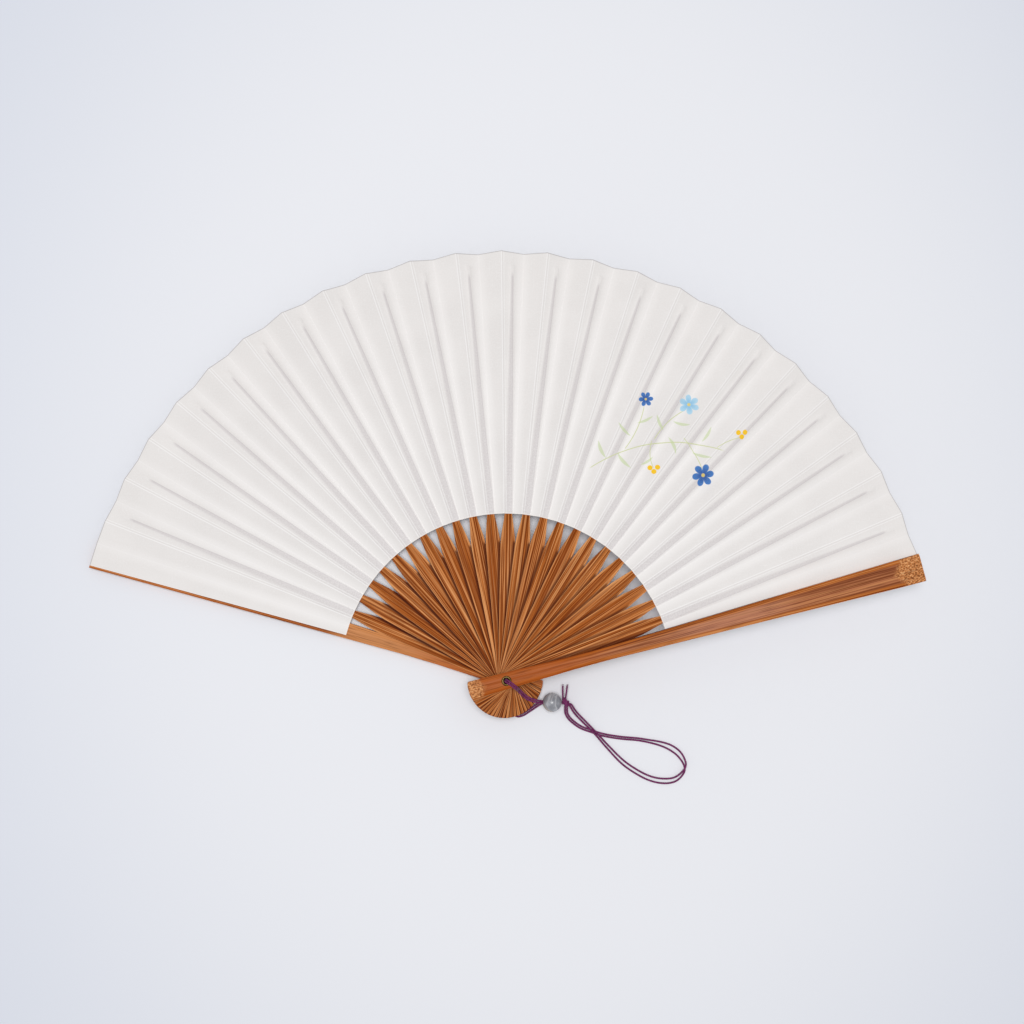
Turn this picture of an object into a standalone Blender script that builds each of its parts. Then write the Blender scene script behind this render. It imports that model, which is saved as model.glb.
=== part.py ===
"""A folding fan lying open on its rear guard.

The frame has +Z up. The fan opens towards +Y and is the same either side of the YZ plane.
The origin is on the standing surface, under the middle of the open fan without its cord.
Every bone is made in its own frame: X runs from the pivot to its tip, Y points to its left
and Z is up. The rear guard is bone 0, the sticks follow, and the front guard is the last.
"""

import math

import bmesh
import bpy
from mathutils import Vector

# Bones and how far they open
BONES = 25
LAST = BONES - 1
OPENING = math.radians(148)
BONE_STEP = OPENING / LAST
HALF_PANEL = BONE_STEP / 4

# Guards
GUARD_REACH = 0.1785
GUARD_TAIL = 0.0160
GUARD_TIP_WIDTH = 0.0117
GUARD_WAIST_WIDTH = 0.0050
GUARD_PIVOT_WIDTH = 0.0068
GUARD_TAIL_WIDTH = 0.0073
GUARD_WAIST = 0.036
WAIST_ROUND = 0.008
GUARD_THICK = 0.0030
GUARD_THIN = 0.0016
GUARD_TIP_THICK = 0.0015
GUARD_TAIL_THICK = 0.0009
THIN_END = 0.007
THICK_START = 0.018
TIP_BEVEL = 0.0104
TAIL_BEVEL = 0.007
EDGE_BEVEL_WIDTH = 0.0011
EDGE_BEVEL_DEPTH = 0.0004

# Round cut at the tail of every bone, from the end's middle to its corners
TAIL_CORNER = 0.0004
END_SHARE = 0.4
ROUND_SHARES = (0.72, 0.92)

# Sticks
STICK_TAIL = 0.0159
STICK_WIDTH = 0.0062
STICK_THICK = 0.0004
SHOULDER_START = 0.050
SLIVER_ROOT_WIDTH = 0.0032
SLIVER_TIP_WIDTH = 0.0009
SLIVER_REACH = 0.172
SLIVER_THICK = 0.0003
SHOULDER_SHARES = ((0.3, 0.03), (0.45, 0.12), (0.6, 0.31), (0.8, 0.66), (1.0, 1.0))

# Leaf
LEAF_INNER = 0.0688
LEAF_OUTER = 0.178
SHEET = 0.0001
PLEAT_HEIGHT = 0.003
PLEAT_REACH = 0.00035
LEAF_LAYER = 0.00062
FOLD_GAP = 0.00015
POCKET_WALL = 0.0001
POCKET_RAMP = 0.0003
POCKET_END = 0.001
PLEAT_EASE_SHARE = 0.18

# Clearances between the stacked pieces
PLAY = 0.0001
POCKET_PLAY = 0.00005
HOLE_PLAY = 0.00025

# Eyelet
EYELET_BORE = 0.0022
EYELET_TUBE = 0.0029
EYELET_FLANGE = 0.0041
FLANGE_THICK = 0.00025
FLANGE_ROUND = 0.0001
EYELET_STEPS = 48

# Cord, knot and bead
CORD = 0.0008
CORD_SPACING = 0.0009
CORD_TURN = 0.0017
CORD_OFF_AXIS = 0.00042
RIM_STICKS = 5
DROP_STICKS = 8
MOUTH_SHARES = (1.0, 0.0, -0.95)
QUARTER_SHARES = (1.0, 0.67, 0.33, 0.0)
BORE_SHARES = (0.88, 0.12)
CORD_STEP = 0.0021
FACE_GAP = 0.0003
BEAD = 0.008
BEAD_BORE = 0.0024
BEAD_OUT = 0.0198
BEAD_DOWN = 0.0097
BEAD_STEPS = 40
KNOT_LENGTH = 0.0030
KNOT_WIDTH = 0.0043
KNOT_WRAPS = 3
KNOT_STEPS = 16
WRAP_SHARES = (0.3, 0.7)
GROOVE_SHARE = 0.33
TAIL_LENGTH = 0.0054
TAIL_SPREAD = 0.0019
TAIL_LEAN = 0.0003
TAIL_STEPS = 8
LOOP_REACH = 0.0495
LOOP_SPREAD = 0.0022
SMOOTH_STEPS = 16

# Layers of the stack
STICK_LAYER = STICK_THICK + PLAY
LEAF_SEAT = SHEET + PLAY / 2

# Where the pivot stands, so that the open fan is centred on the origin
PIVOT_Y = -(LEAF_OUTER + PLEAT_REACH - STICK_TAIL) / 2

# Directions
ALONG = Vector((1, 0, 0))
ACROSS = Vector((0, 1, 0))
UP = Vector((0, 0, 1))


def clear_scene():
    for old in list(bpy.data.objects):
        bpy.data.objects.remove(old)


def make_collection(name):
    made = bpy.data.collections.new(name)
    bpy.context.scene.collection.children.link(made)
    return made


def make_material(name, colour, roughness, metallic=0.0):
    made = bpy.data.materials.new(name)
    made.use_nodes = True
    shader = made.node_tree.nodes["Principled BSDF"]
    shader.inputs["Base Color"].default_value = (*colour, 1.0)
    shader.inputs["Roughness"].default_value = roughness
    shader.inputs["Metallic"].default_value = metallic
    made.diffuse_color = (*colour, 1.0)
    return made


def finish(obj, collection, material):
    collection.objects.link(obj)
    obj.data.materials.append(material)
    return obj


def mix(low, high, share):
    return low + (high - low) * share


def circle(centre, first, second, radius, steps):
    """Points round a centre, in the plane of two unit directions."""
    points = []
    for step in range(steps):
        turn = 2 * math.pi * step / steps
        points.append(centre + radius * (math.cos(turn) * first + math.sin(turn) * second))
    return points


def bone_angle(bone):
    return math.pi / 2 + OPENING / 2 - bone * BONE_STEP


def on_bone(obj, bone):
    """Set a piece made in a bone's own frame on the pivot, turned to that bone."""
    obj.location = (0, PIVOT_Y, 0)
    obj.rotation_euler = (0, 0, bone_angle(bone))
    return obj


def loft(name, sections, collection, material):
    """A closed body through sections that all have the same number of points."""
    mesh = bpy.data.meshes.new(name)
    body = bmesh.new()
    rings = [[body.verts.new(point) for point in section] for section in sections]
    for near, far in zip(rings, rings[1:]):
        for here in range(len(near)):
            after = (here + 1) % len(near)
            body.faces.new((near[here], near[after], far[after], far[here]))
    body.faces.new(rings[0])
    body.faces.new(tuple(reversed(rings[-1])))
    bmesh.ops.recalc_face_normals(body, faces=body.faces)
    body.to_mesh(mesh)
    body.free()
    return finish(bpy.data.objects.new(name, mesh), collection, material)


def lathe(name, profile, steps, collection, material):
    """A closed ring of revolution about Z. The profile's points are (radius, height)."""
    sections = []
    for step in range(steps):
        turn = 2 * math.pi * step / steps
        sections.append([(r * math.cos(turn), r * math.sin(turn), z) for r, z in profile])
    mesh = bpy.data.meshes.new(name)
    body = bmesh.new()
    rings = [[body.verts.new(point) for point in section] for section in sections]
    for step, near in enumerate(rings):
        far = rings[(step + 1) % steps]
        for here in range(len(near)):
            after = (here + 1) % len(near)
            body.faces.new((near[here], near[after], far[after], far[here]))
    bmesh.ops.recalc_face_normals(body, faces=body.faces)
    body.to_mesh(mesh)
    body.free()
    return finish(bpy.data.objects.new(name, mesh), collection, material)


def hide_cutter(obj):
    obj.hide_render = True
    obj.display_type = "WIRE"
    return obj


def combine(obj, other, operation):
    made = obj.modifiers.new(other.name, "BOOLEAN")
    made.operation = operation
    made.solver = "EXACT"
    made.object = other


# Heights in the stack

def stick_height(bone, along):
    """Height of a stick's middle. Each layer gets thicker outwards, to make room for paper."""
    near = GUARD_THICK + bone * STICK_LAYER - STICK_THICK / 2
    far = GUARD_THICK + LEAF_SEAT + bone * LEAF_LAYER
    return mix(near, far, along / LEAF_OUTER)


def front_seat(along):
    """Height of the front guard's inner face."""
    near = GUARD_THICK + (LAST - 1) * STICK_LAYER + PLAY
    far = GUARD_THICK + 2 * LEAF_SEAT + LAST * LEAF_LAYER
    return mix(near, far, along / LEAF_OUTER)


def leaf_height(bone, along):
    """Height of the middle of the panel that lies on a bone."""
    if bone == 0:
        return GUARD_THICK + LEAF_SEAT
    if bone == LAST:
        return front_seat(along) - LEAF_SEAT
    return stick_height(bone, along)


def pleat_share(bone):
    """The panels lie flat on the guards and reach their full tilt a few bones further in."""
    return min(1.0, PLEAT_EASE_SHARE * bone, PLEAT_EASE_SHARE * (LAST - bone))


def panel_tilt(bone):
    half_width = LEAF_OUTER * math.tan(HALF_PANEL)
    return math.atan(pleat_share(bone) * PLEAT_HEIGHT / 2 / half_width)


def round_tail(reach, half_width):
    """The tail's round cut about the pivot: distances along the bone and half widths there."""
    stations = [(-reach, half_width * END_SHARE)]
    for round_share in ROUND_SHARES:
        edge = half_width * round_share
        stations.append((-math.sqrt(reach ** 2 - edge ** 2), edge))
    corner = math.sqrt(reach ** 2 - half_width ** 2) - TAIL_CORNER
    return [*stations, (-corner, half_width)]


# Guards

def guard_half_width(along):
    """A guard narrows from its tail to a waist and widens from there to its tip."""
    if along < 0:
        return mix(GUARD_PIVOT_WIDTH, GUARD_TAIL_WIDTH, -along / GUARD_TAIL) / 2
    if along < GUARD_WAIST:
        return mix(GUARD_PIVOT_WIDTH, GUARD_WAIST_WIDTH, along / GUARD_WAIST) / 2
    share = (along - GUARD_WAIST) / (GUARD_REACH - GUARD_WAIST)
    return mix(GUARD_WAIST_WIDTH, GUARD_TIP_WIDTH, share) / 2


def guard_sections(inner_face, side):
    """Sections of a guard. Side is 1 if its outer face looks up and -1 if it looks down."""
    stations = []
    for along, edge in round_tail(GUARD_TAIL, GUARD_TAIL_WIDTH / 2):
        bevel_share = (along + GUARD_TAIL) / TAIL_BEVEL
        stations.append((along, edge, mix(GUARD_TAIL_THICK, GUARD_THIN, bevel_share)))
    for along, thick in (
        (-GUARD_TAIL + TAIL_BEVEL, GUARD_THIN),
        (THIN_END, GUARD_THIN),
        (THICK_START, GUARD_THICK),
        (GUARD_WAIST - WAIST_ROUND, GUARD_THICK),
        (GUARD_WAIST + WAIST_ROUND, GUARD_THICK),
        (GUARD_REACH - TIP_BEVEL, GUARD_THICK),
        (GUARD_REACH, GUARD_TIP_THICK),
    ):
        stations.append((along, guard_half_width(along), thick))
    sections = []
    for along, edge, thick in stations:
        face = edge - min(EDGE_BEVEL_WIDTH, edge / 2)
        inner = inner_face(along)
        wall = inner + side * (thick - EDGE_BEVEL_DEPTH)
        outer = inner + side * thick
        outline = ((-edge, inner), (edge, inner), (edge, wall))
        outline += ((face, outer), (-face, outer), (-edge, wall))
        sections.append([(along, across, height) for across, height in outline])
    return sections


def make_rear_guard(collection, material):
    sections = guard_sections(lambda along: GUARD_THICK, -1)
    return on_bone(loft("rear_guard", sections, collection, material), 0)


def make_front_guard(collection, material):
    sections = guard_sections(front_seat, 1)
    return on_bone(loft("front_guard", sections, collection, material), LAST)


# Sticks

def sliver_width(along):
    share = (along - LEAF_INNER) / (SLIVER_REACH - LEAF_INNER)
    return mix(SLIVER_ROOT_WIDTH, SLIVER_TIP_WIDTH, max(share, 0))


def strip_section(along, width, thick, height, tilt):
    """A rectangle across a bone, turned about the bone's middle line."""
    corners = ((-1, -1), (1, -1), (1, 1), (-1, 1))
    section = []
    for side, level in corners:
        across = side * width / 2
        above = level * thick / 2
        y = across * math.cos(tilt) - above * math.sin(tilt)
        z = across * math.sin(tilt) + above * math.cos(tilt)
        section.append((along, y, height + z))
    return section


def make_stick(bone, collection, material):
    stations = []
    for along, edge in round_tail(STICK_TAIL, STICK_WIDTH / 2):
        stations.append((along, 2 * edge, STICK_THICK, 0))
    stations.append((SHOULDER_START, STICK_WIDTH, STICK_THICK, 0))
    for run_share, narrow_share in SHOULDER_SHARES:
        along = mix(SHOULDER_START, LEAF_INNER - POCKET_PLAY, run_share)
        width = mix(STICK_WIDTH, SLIVER_ROOT_WIDTH, narrow_share)
        thick = mix(STICK_THICK, SLIVER_THICK, narrow_share)
        stations.append((along, width, thick, narrow_share))
    stations.append((SLIVER_REACH, SLIVER_TIP_WIDTH, SLIVER_THICK, 1))
    sections = []
    for along, width, thick, twist_share in stations:
        height = stick_height(bone, along)
        tilt = panel_tilt(bone) * twist_share
        sections.append(strip_section(along, width, thick, height, tilt))
    return on_bone(loft(f"stick_{bone:02d}", sections, collection, material), bone)


def make_pocket_cutter(bone, collection, material):
    """The room that a stick's sliver takes inside its panel of the leaf."""
    stations = (
        (LEAF_INNER - POCKET_END, SLIVER_ROOT_WIDTH),
        (LEAF_INNER, SLIVER_ROOT_WIDTH),
        (SLIVER_REACH + POCKET_PLAY, SLIVER_TIP_WIDTH),
    )
    thick = SLIVER_THICK + 2 * POCKET_PLAY
    sections = []
    for along, width in stations:
        height = stick_height(bone, along)
        wide = width + 2 * POCKET_PLAY
        sections.append(strip_section(along, wide, thick, height, panel_tilt(bone)))
    name = f"pocket_cutter_{bone:02d}"
    return hide_cutter(on_bone(loft(name, sections, collection, material), bone))


# Leaf

def panel_across(along, swell):
    """Where the panel over a bone changes thickness, from its middle to its fold."""
    fold = along * math.tan(HALF_PANEL)
    if not swell:
        return fold / 3, fold * 2 / 3, fold
    wall = sliver_width(along) / 2 + POCKET_WALL
    ramp = min(POCKET_RAMP, (fold - wall) / 2)
    return wall, wall + ramp, fold


def panel_surface(bone, along, swell, side, lean):
    """Points across one face of the panel over a bone, from its left fold to its right."""
    wall, ramp, fold = panel_across(along, swell)
    thick = SLIVER_THICK / 2 + POCKET_PLAY + POCKET_WALL if swell else SHEET
    points = []
    for across, half in ((fold, SHEET), (ramp, SHEET), (wall, thick)):
        points.append((across, half))
    points += [(-across, half) for across, half in reversed(points)]
    middle = leaf_height(bone, along)
    slope = math.tan(panel_tilt(bone))
    return [
        (along + lean * across / fold, across, middle + across * slope + side * half)
        for across, half in points
    ]


def next_fold(bone, along, side, lean):
    """The far edge of the panel between a bone and its right-hand neighbour."""
    radius = along / math.cos(HALF_PANEL)
    turn = 3 * HALF_PANEL
    rise = PLEAT_HEIGHT / 2 * pleat_share(bone + 1) * along / LEAF_OUTER
    height = leaf_height(bone + 1, along) + rise + side * SHEET
    x = (radius + lean) * math.cos(turn)
    y = FOLD_GAP - (radius + lean) * math.sin(turn)
    return x, y, height


def leaf_sections(bone):
    """Sections out along a bone. The panel on the rear guard reaches the guard's end."""
    swell = 0 < bone < LAST
    end = SLIVER_REACH + POCKET_PLAY + POCKET_WALL
    outer, outer_lean = (LEAF_OUTER, PLEAT_REACH) if bone > 0 else (GUARD_REACH, 0)
    stations = (
        (LEAF_INNER, LEAF_INNER, swell, 0, 0),
        (end, end, swell, 0, 0),
        (end + POCKET_END, end + POCKET_END, False, 0, 0),
        (outer, LEAF_OUTER, False, outer_lean, PLEAT_REACH),
    )
    sections = []
    for along, fold_along, swollen, lean, fold_lean in stations:
        section = panel_surface(bone, along, swollen, 1, lean)
        if bone < LAST:
            section.append(next_fold(bone, fold_along, 1, fold_lean))
            section.append(next_fold(bone, fold_along, -1, fold_lean))
        section += reversed(panel_surface(bone, along, swollen, -1, lean))
        sections.append(section)
    return sections


def make_leaf_piece(bone, collection, material):
    """The panel on a bone and the panel to its right, up to the next fold."""
    name = f"leaf_fold_{bone:02d}" if bone < LAST else "leaf_end_panel"
    return on_bone(loft(name, leaf_sections(bone), collection, material), bone)


# Eyelet

def eyelet_top():
    return front_seat(0) + GUARD_THIN + PLAY + FLANGE_THICK


def eyelet_bottom():
    return GUARD_THICK - GUARD_THIN - PLAY - FLANGE_THICK


def make_eyelet(collection, material):
    top = eyelet_top()
    bottom = eyelet_bottom()
    bore = EYELET_BORE / 2
    tube = EYELET_TUBE / 2
    rim = EYELET_FLANGE / 2
    profile = [
        (rim - FLANGE_ROUND, top),
        (rim, top - FLANGE_ROUND),
        (rim, top - FLANGE_THICK),
        (tube, top - FLANGE_THICK),
        (tube, bottom + FLANGE_THICK),
        (rim, bottom + FLANGE_THICK),
        (rim, bottom + FLANGE_ROUND),
        (rim - FLANGE_ROUND, bottom),
        (bore + FLANGE_ROUND, bottom),
        (bore, bottom + FLANGE_ROUND),
        (bore, top - FLANGE_ROUND),
        (bore + FLANGE_ROUND, top),
    ]
    made = lathe("eyelet", profile, EYELET_STEPS, collection, material)
    made.location = (0, PIVOT_Y, 0)
    return made


def make_hole_cutter(collection, material):
    """The hole that every bone turns on, a little wider than the eyelet's tube."""
    radius = EYELET_TUBE / 2 + HOLE_PLAY
    sections = []
    for height in (-GUARD_THICK, eyelet_top() + GUARD_THICK):
        centre = Vector((0, 0, height))
        sections.append(circle(centre, ALONG, ACROSS, radius, EYELET_STEPS))
    made = loft("hole_cutter", sections, collection, material)
    made.location = (0, PIVOT_Y, 0)
    return hide_cutter(made)


# Bead and knot

def bead_centre():
    return Vector((BEAD_OUT, PIVOT_Y - BEAD_DOWN, BEAD / 2))


def make_bead(collection, material):
    radius = BEAD / 2
    bore = BEAD_BORE / 2
    start = math.asin(bore / radius)
    arcs = BEAD_STEPS // 2
    profile = []
    for step in range(arcs + 1):
        turn = mix(start, math.pi - start, step / arcs)
        profile.append((radius * math.sin(turn), radius * math.cos(turn)))
    made = lathe("bead", profile, BEAD_STEPS, collection, material)
    made.location = bead_centre()
    made.rotation_euler = (0, math.pi / 2, 0)
    return made


def knot_start():
    """The knot's left face, on the bead's axis just right of the bead."""
    bore = BEAD_BORE / 2
    face = math.sqrt((BEAD / 2) ** 2 - bore ** 2)
    return bead_centre() + (face + FACE_GAP) * ALONG


def knot_section(along, radius):
    return circle(knot_start() + along * ALONG, ACROSS, UP, radius, KNOT_STEPS)


def make_knot(collection, cutters, material):
    """Wraps of cord drawn tight, with the two cut ends standing out sideways."""
    wrap = KNOT_LENGTH / KNOT_WRAPS
    outer = KNOT_WIDTH / 2
    groove = outer - CORD * GROOVE_SHARE
    sections = [knot_section(0, groove)]
    for turn in range(KNOT_WRAPS):
        for wrap_share in WRAP_SHARES:
            sections.append(knot_section((turn + wrap_share) * wrap, outer))
        sections.append(knot_section((turn + 1) * wrap, groove))
    knot = loft("knot", sections, collection, material)
    root = knot_start() + (CORD + PLAY) * ALONG
    tip = root + TAIL_LEAN * ALONG + (outer + TAIL_LENGTH) * ACROSS
    for side in (-1, 1):
        near = root + side * CORD_SPACING / 2 * ALONG
        far = tip + side * TAIL_SPREAD / 2 * ALONG
        rings = [circle(centre, ALONG, UP, CORD / 2, TAIL_STEPS) for centre in (near, far)]
        name = "tail_near" if side < 0 else "tail_far"
        tail = loft(name, rings, cutters, material)
        combine(knot, hide_cutter(tail), "UNION")
    return knot


# Cord

def smooth_path(points, spacing):
    """Points evenly spaced along a smooth curve through the given points."""
    ends = [2 * points[0] - points[1], *points, 2 * points[-1] - points[-2]]
    fine = [points[0]]
    for a, b, c, d in zip(ends, ends[1:], ends[2:], ends[3:]):
        for step in range(1, SMOOTH_STEPS + 1):
            t = step / SMOOTH_STEPS
            bend = (2 * a - 5 * b + 4 * c - d) * t * t + (3 * b - a - 3 * c + d) * t ** 3
            fine.append(b + ((c - a) * t + bend) / 2)
    lengths = [(after - before).length for before, after in zip(fine, fine[1:])]
    count = round(sum(lengths) / spacing)
    stride = sum(lengths) / count
    path = [fine[0]]
    run = 0.0
    for start, end, length in zip(fine, fine[1:], lengths):
        while len(path) < count and run + length >= len(path) * stride:
            share = (len(path) * stride - run) / length
            path.append(start.lerp(end, share))
        run += length
    path.append(fine[-1])
    return path


def make_cord(name, path, collection, material):
    curve = bpy.data.curves.new(name, "CURVE")
    curve.dimensions = "3D"
    curve.bevel_depth = CORD / 2
    curve.bevel_resolution = 2
    curve.use_fill_caps = True
    spline = curve.splines.new("POLY")
    spline.points.add(len(path) - 1)
    for point, place in zip(spline.points, path):
        point.co = (*place, 1.0)
    return finish(bpy.data.objects.new(name, curve), collection, material)


def pair_offset(turn_share, side):
    """Half the step between the two strands, when the pair has made that much of a half turn."""
    turn = math.pi * turn_share
    return (math.cos(turn) * ALONG + math.sin(turn) * ACROSS) * side * CORD_SPACING / 2


def neck_place(out_share, side_share):
    """Shares of the way from the pivot to the bead's left face, and to the left of it."""
    reach = Vector((BEAD_OUT - BEAD / 2, -BEAD_DOWN, 0))
    return reach * out_share + Vector((-reach.y, reach.x, 0)) * side_share


def neck_points(rows, low, high, side):
    """Points from rows of two shares of the way, one of the climb and one of the half turn."""
    points = []
    for out_share, side_share, rise_share, turn_share in rows:
        place = neck_place(out_share, side_share) + pair_offset(turn_share, side)
        points.append(place + mix(low, high, rise_share) * UP)
    return points


def quarter_turn(end, way, side):
    """From lying across the eyelet to standing in its bore. Way is -1 from underneath."""
    heading, level, turn_share = end
    points = []
    for quarter_share in QUARTER_SHARES:
        turn = math.pi / 2 * quarter_share
        out = CORD_TURN * (1 - math.cos(turn)) - CORD_OFF_AXIS
        height = level - way * CORD_TURN * (1 - math.sin(turn))
        points.append(heading * out + pair_offset(turn_share, side) + height * UP)
    return points


def bore_points(upper, lower, side):
    """Down the eyelet. An end is a direction, a height and a share of the pair's half turn."""
    points = quarter_turn(upper, 1, side)
    for bore_share in BORE_SHARES:
        heading = lower[0].lerp(upper[0], bore_share).normalized()
        height = mix(lower[1] + CORD_TURN, upper[1] - CORD_TURN, bore_share)
        turn_share = mix(lower[2], upper[2], bore_share)
        points.append(pair_offset(turn_share, side) - heading * CORD_OFF_AXIS + height * UP)
    points += reversed(quarter_turn(lower, -1, side))
    return points


def neck_path(side):
    """One strand: from the bead over the head, down the eyelet, under the head and back.

    It climbs from the bead to the head's rim, lies on the sticks, climbs the front guard and
    goes down the bore. Underneath it bends round and comes out along the rim.
    """
    lead_shares = (
        (0.938, -0.022, 0.40, 0.45),
        (0.865, -0.048, 0.98, 0.42),
    )
    rim_shares = (
        (0.785, -0.072, 0.15, 0.40),
        (0.695, -0.092, 0.40, 0.35),
        (0.600, -0.093, 0.65, 0.30),
        (0.510, -0.080, 0.86, 0.26),
    )
    guard_shares = (
        (0.430, -0.062, 0.04, 0.24),
        (0.370, -0.044, 0.19, 0.24),
        (0.340, -0.034, 0.42, 0.24),
        (0.323, -0.029, 0.67, 0.25),
        (0.292, -0.022, 0.86, 0.27),
        (0.225, -0.012, 0.96, 0.30),
        (0.145, -0.003, 0.99, 0.32),
    )
    under_shares = (
        (0.110, -0.140, 0.0, 0.05),
        (0.220, -0.265, 0.0, 0.06),
        (0.350, -0.400, 0.0, 0.08),
        (0.500, -0.530, 0.0, 0.16),
        (0.610, -0.575, 0.0, 0.29),
        (0.720, -0.555, 0.0, 0.47),
        (0.795, -0.475, 0.01, 0.62),
        (0.844, -0.374, 0.05, 0.69),
        (0.888, -0.271, 0.19, 0.71),
        (0.925, -0.170, 0.45, 0.70),
        (0.962, -0.078, 0.78, 0.63),
    )
    centre = bead_centre()
    high = centre.z + CORD_SPACING / 2
    low = centre.z - CORD_SPACING / 2
    rim = GUARD_THICK + RIM_STICKS * STICK_LAYER + CORD / 2 + PLAY
    drop = GUARD_THICK + DROP_STICKS * STICK_LAYER + CORD / 2 + PLAY
    over = eyelet_top() + CORD / 2 + PLAY
    under = CORD / 2 + PLAY / 2
    upper = (neck_place(1, 0).normalized(), over, guard_shares[-1][3])
    lower = (neck_place(*under_shares[0][:2]).normalized(), under, under_shares[0][3])
    route = neck_points(lead_shares, high, rim, side)
    route += neck_points(rim_shares, rim, drop, side)
    route += neck_points(guard_shares, drop, over, side)
    route += bore_points(upper, lower, side)
    route += neck_points(under_shares, under, low, side)
    mouth = math.sqrt((BEAD / 2) ** 2 - (BEAD_BORE / 2) ** 2)
    beside = centre.y + side * CORD_SPACING / 2
    inside = [centre.x + mouth * mouth_share for mouth_share in MOUTH_SHARES]
    first = [Vector((x, beside, high)) for x in inside]
    last = [Vector((x, beside, low)) for x in reversed(inside)]
    return [*first, *(place + PIVOT_Y * ACROSS for place in route), *last]


def loop_path(side):
    """One strand of the doubled loop, out from the knot, round and back to it.

    Each row gives two shares of the loop's reach, how far the two strands stand apart, how
    many cords they have under them and how far the first strand rides over the second.
    """
    start = knot_start() + (KNOT_LENGTH + FACE_GAP) * ALONG
    loop_shares = (
        (-0.030, -0.049, 0.0, 3.9, 0.0),
        (-0.028, -0.080, 0.0, 3.3, 0.0),
        (-0.010, -0.122, 0.0, 1.9, 0.0),
        (0.034, -0.168, 0.0, 0.5, 0.0),
        (0.105, -0.216, 0.0, 0.0, 0.0),
        (0.190, -0.246, 0.0, 0.0, 0.0),
        (0.300, -0.279, 0.0, 0.0, 0.0),
        (0.445, -0.301, 0.0, 0.0, 0.0),
        (0.585, -0.312, 0.0, 0.0, 0.0),
        (0.678, -0.326, 0.1, 0.0, 0.0),
        (0.786, -0.348, 0.5, 0.0, 0.0),
        (0.879, -0.383, 0.9, 0.0, 0.0),
        (0.954, -0.441, 0.8, 0.0, 0.3),
        (0.997, -0.520, 0.0, 0.0, 1.0),
        (0.988, -0.580, 0.0, 0.0, 1.0),
        (0.925, -0.644, 0.6, 0.0, 0.3),
        (0.840, -0.664, 0.8, 0.0, 0.0),
        (0.729, -0.651, 0.7, 0.0, 0.0),
        (0.613, -0.603, 0.6, 0.0, 0.0),
        (0.471, -0.511, 0.5, 0.0, 0.0),
        (0.335, -0.378, 0.2, 0.4, 0.0),
        (0.225, -0.259, 0.0, 1.2, 0.0),
        (0.140, -0.176, 0.1, 1.4, 0.0),
        (0.055, -0.090, 0.1, 3.0, 0.0),
        (0.008, -0.022, 0.0, 5.1, 0.0),
    )
    middle = [LOOP_REACH * (row[0] * ALONG + row[1] * ACROSS) for row in loop_shares]
    swap = max(range(len(middle)), key=lambda here: middle[here].x)
    points = []
    for here, (_, _, spread_share, cords_under, over_share) in enumerate(loop_shares):
        run = middle[min(here + 1, len(middle) - 1)] - middle[max(here - 1, 0)]
        beside = Vector((-run.y, run.x, 0)).normalized() * side
        if here > swap:
            beside = -beside
        gap = mix(CORD_SPACING, LOOP_SPREAD, spread_share) / 2
        height = CORD / 2 + PLAY / 2 + cords_under * CORD
        if side > 0:
            height += over_share * CORD_SPACING
        place = middle[here] + beside * gap
        points.append(Vector((start.x + place.x, start.y + place.y, height)))
    return smooth_path(points, CORD_STEP)


def build():
    clear_scene()
    fan = make_collection("folding_fan")
    cutters = make_collection("cutters")
    bamboo = make_material("bamboo_guard", (0.52, 0.24, 0.09), 0.45)
    strip = make_material("bamboo_stick", (0.45, 0.19, 0.07), 0.5)
    paper = make_material("paper", (0.86, 0.84, 0.81), 0.9)
    brass = make_material("brass", (0.42, 0.36, 0.18), 0.35, 1.0)
    thread = make_material("cord", (0.22, 0.05, 0.18), 0.8)
    stone = make_material("stone", (0.42, 0.46, 0.52), 0.35)

    hole = make_hole_cutter(cutters, bamboo)
    bones = [make_rear_guard(fan, bamboo), make_front_guard(fan, bamboo)]
    bones += [make_stick(bone, fan, strip) for bone in range(1, LAST)]
    for bone in bones:
        combine(bone, hole, "DIFFERENCE")

    for bone in range(BONES):
        piece = make_leaf_piece(bone, fan, paper)
        if 0 < bone < LAST:
            combine(piece, make_pocket_cutter(bone, cutters, paper), "DIFFERENCE")

    make_eyelet(fan, brass)
    make_bead(fan, stone)
    make_knot(fan, cutters, thread)
    for letter, side in (("a", 1), ("b", -1)):
        make_cord(f"neck_strand_{letter}", neck_path(side), fan, thread)
        make_cord(f"loop_strand_{letter}", loop_path(side), fan, thread)


build()
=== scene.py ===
"""The look of an open folding fan: bamboo bones, a pleated paper leaf, a cord and a bead."""

import math

import bmesh
import bpy
from mathutils import Euler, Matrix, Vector, noise


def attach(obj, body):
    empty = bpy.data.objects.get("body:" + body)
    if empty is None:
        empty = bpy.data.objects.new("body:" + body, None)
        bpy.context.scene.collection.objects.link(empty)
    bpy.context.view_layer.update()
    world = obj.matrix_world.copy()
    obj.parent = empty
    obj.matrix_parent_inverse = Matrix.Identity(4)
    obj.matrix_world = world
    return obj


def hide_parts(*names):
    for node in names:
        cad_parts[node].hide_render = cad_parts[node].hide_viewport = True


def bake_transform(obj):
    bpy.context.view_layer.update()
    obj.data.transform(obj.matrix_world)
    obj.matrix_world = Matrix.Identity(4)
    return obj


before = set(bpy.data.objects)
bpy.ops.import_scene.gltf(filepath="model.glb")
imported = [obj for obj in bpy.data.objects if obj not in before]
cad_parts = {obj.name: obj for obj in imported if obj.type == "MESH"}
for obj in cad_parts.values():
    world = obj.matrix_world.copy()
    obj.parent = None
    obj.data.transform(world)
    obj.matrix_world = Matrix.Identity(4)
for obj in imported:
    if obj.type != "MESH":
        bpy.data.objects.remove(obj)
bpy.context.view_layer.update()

# Bones and how far they open, as in the CAD
BONES = 25
LAST = BONES - 1
OPENING = math.radians(148)
BONE_STEP = OPENING / LAST
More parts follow.
